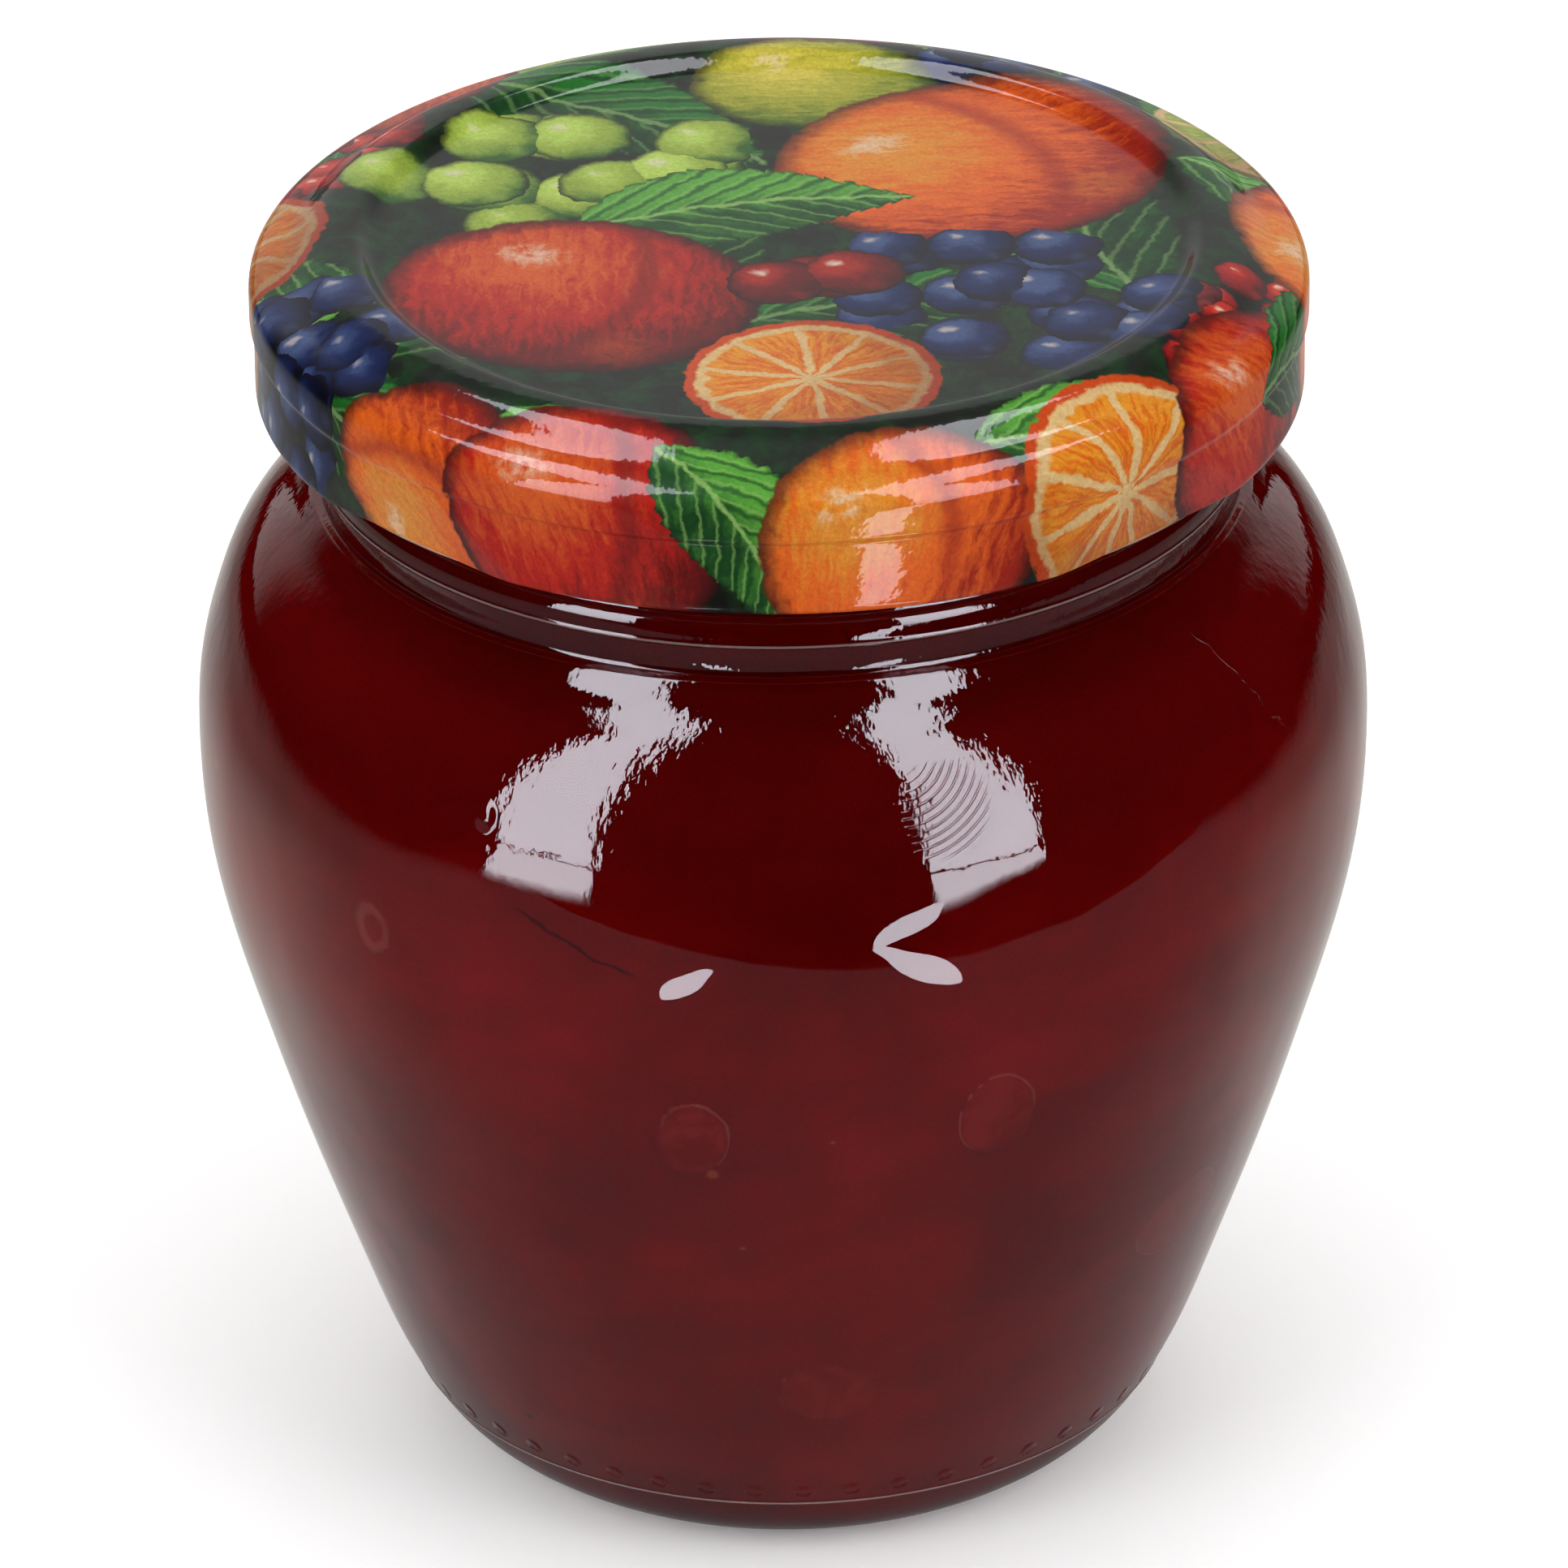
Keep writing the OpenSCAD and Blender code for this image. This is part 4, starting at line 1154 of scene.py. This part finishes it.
def small_cards():
    """The small bright things as one mesh of flat ellipses, seen by shiny surfaces alone."""
    a = np.linspace(0, 2 * np.pi, 24, endpoint=False)
    points, faces = [], []
    for k, (middle, length, width, turn) in enumerate(CARDS):
        t = np.radians(turn)
        along, across = length * np.sin(a), width * np.cos(a) * (1 + 0.2 * np.sin(3 * a))
        points.append(np.stack([middle[0] + across * np.cos(t) - along * np.sin(t),
                                middle[1] + across * np.sin(t) + along * np.cos(t),
                                np.full(24, float(middle[2]))], 1))
        faces.append(list(range(24 * k, 24 * k + 24)))
    cards = put_mesh("small_cards", np.concatenate(points), faces)
    mat, n = new_material("card_light")
    n.end(n.add("ShaderNodeEmission", {"Color": LAMP_TINT, "Strength": FOOT_GLOW}))
    cards.data.materials.append(mat)
    for ray in ("camera", "diffuse", "transmission", "shadow", "volume_scatter"):
        setattr(cards, "visible_" + ray, False)
    return cards


class JAMPOT_OT_stage(bpy.types.Operator):
    """Set up the table, the soft light and the camera"""

    bl_idname = "jampot.stage"
    bl_label = "Stage"

    def execute(self, context):
        scene, st = context.scene, context.scene.jam_pot_stage
        half, low = 4, -5e-5
        corners = [[-half, -half, low], [half, -half, low], [half, half, low], [-half, half, low]]
        floor = put_mesh("table", np.array(corners), [(0, 1, 2, 3)], False)
        small_cards()
        mat, n = new_material("pale_table")
        place = n.place()
        camera_ray, glossy_ray = n.rays("Camera", "Glossy")
        shader = n.add("ShaderNodeBsdfDiffuse", {"Color": st.floor})
        table, feet = glossy_table(n, place)
        behind = n.ramp(n.parts(place)[1], -0.06, 0.03)
        tone = n.mix(behind, (0.99, 0.96, 1.06), (1, 0.98, 0.93))
        tone = n.mix(n.ramp(feet, 0, 2), tone, LAMP_TINT)
        seen = n.add("ShaderNodeEmission", {"Color": tone, "Strength": table + feet})
        # The camera sees the table a little whiter than the light makes it, with its shadow kept
        white = n.add("ShaderNodeEmission", {
            "Color": (1, 1, 1), "Strength": camera_ray * CAMERA_MORE})
        plain = n.add("ShaderNodeAddShader", {0: shader, 1: white})
        n.end(n.add("ShaderNodeMixShader", {0: glossy_ray, 1: plain, 2: seen}))
        floor.data.materials.append(mat)

        world = scene.world = bpy.data.worlds.new("studio")
        world.use_nodes = True
        world.node_tree.nodes.clear()
        w = Nodes(world.node_tree, "ShaderNodeOutputWorld")
        camera_ray, through, glossy_ray = w.rays("Camera", "Transmission", "Glossy")
        soft = w.ramp(w.math("MAXIMUM", camera_ray, through), 0, 1, SOFT_GLOW, 1, False)
        wall, lamps = glossy_view(w, w.wire("ShaderNodeTexCoord", key="Generated"))
        strength = soft * (1.0 - glossy_ray) + (wall + lamps) * glossy_ray
        cool = w.mix(w.ramp(lamps, 0, 1) * glossy_ray, (1, 1, 1), LAMP_TINT)
        w.end(w.add("ShaderNodeBackground", {"Color": cool, "Strength": strength}))
        world.cycles.sampling_method = "NONE"

        for name, (at, size, power) in AREA_LAMPS.items():
            lamp = bpy.data.lights.new(name, "AREA")
            lamp.size, lamp.energy = size, power
            ob = bpy.data.objects.new(name, lamp)
            ob.location = at
            ob.rotation_euler = facing(at, (0, 0, 0.05)).to_euler()
            rim = name.startswith("rim")
            ob.visible_glossy = ob.visible_camera = False
            ob.visible_transmission, ob.visible_diffuse = rim, not rim
            scene.collection.objects.link(ob)

        e, target = st.elevation, Vector((0, 0, st.aim))
        at = target + st.distance * Vector((0, -math.cos(e), math.sin(e)))
        camera = bpy.data.cameras.new("camera")
        camera.sensor_width = camera.sensor_height = SENSOR
        camera.sensor_fit = "HORIZONTAL"
        camera.lens = st.scale * st.distance * 1000 * SENSOR / PICTURE_POINTS
        camera.clip_start, camera.clip_end = 0.05, 20
        eye = bpy.data.objects.new("camera", camera)
        look = facing(at, target).to_matrix().to_4x4()
        rolled = Euler((0, 0, st.roll)).to_matrix().to_4x4()
        eye.matrix_world = Matrix.Translation(at) @ look @ rolled
        scene.collection.objects.link(eye)
        scene.camera = eye
        scene.view_settings.view_transform = "Standard"
        return {"FINISHED"}


class JAMPOT_PT_panel(bpy.types.Panel):
    """Sizes, colours and pieces of the jam pot"""

    bl_idname = "JAMPOT_PT_panel"
    bl_label = "Jam Pot"
    bl_space_type = "VIEW_3D"
    bl_region_type = "UI"
    bl_category = "Jam Pot"

    def draw(self, context):
        for title, group, operators in (
                ("Glass", context.scene.jam_pot_glass, ("glass",)),
                ("Fill", context.scene.jam_pot_fill, ("jam", "fruit")),
                ("Lid", context.scene.jam_pot_lid, ("lid", "seal")),
                ("Stage", context.scene.jam_pot_stage, ("stage",))):
            box = self.layout.box()
            box.label(text=title)
            for name in group.bl_rna.properties.keys():
                if name not in ("rna_type", "name"):
                    box.prop(group, name)
            for name in operators:
                box.operator("jampot." + name)


GROUPS = {
    "jam_pot_glass": JamPotGlass, "jam_pot_fill": JamPotFill, "jam_pot_lid": JamPotLid,
    "jam_pot_stage": JamPotStage}
OPERATORS = (
    JAMPOT_OT_glass, JAMPOT_OT_jam, JAMPOT_OT_fruit, JAMPOT_OT_lid, JAMPOT_OT_seal, JAMPOT_OT_stage)


def register():
    for cls in (*GROUPS.values(), *OPERATORS, JAMPOT_PT_panel):
        bpy.utils.register_class(cls)
    for name, cls in GROUPS.items():
        setattr(bpy.types.Scene, name, PointerProperty(type=cls))


def unregister():
    for name in GROUPS:
        delattr(bpy.types.Scene, name)
    for cls in reversed((*GROUPS.values(), *OPERATORS, JAMPOT_PT_panel)):
        bpy.utils.unregister_class(cls)


def main():
    register()
    bpy.ops.jampot.glass()
    bpy.ops.jampot.jam()
    bpy.ops.jampot.fruit()
    bpy.ops.jampot.lid()
    bpy.ops.jampot.seal()
    bpy.ops.jampot.stage()


if __name__ == "__main__":
    main()
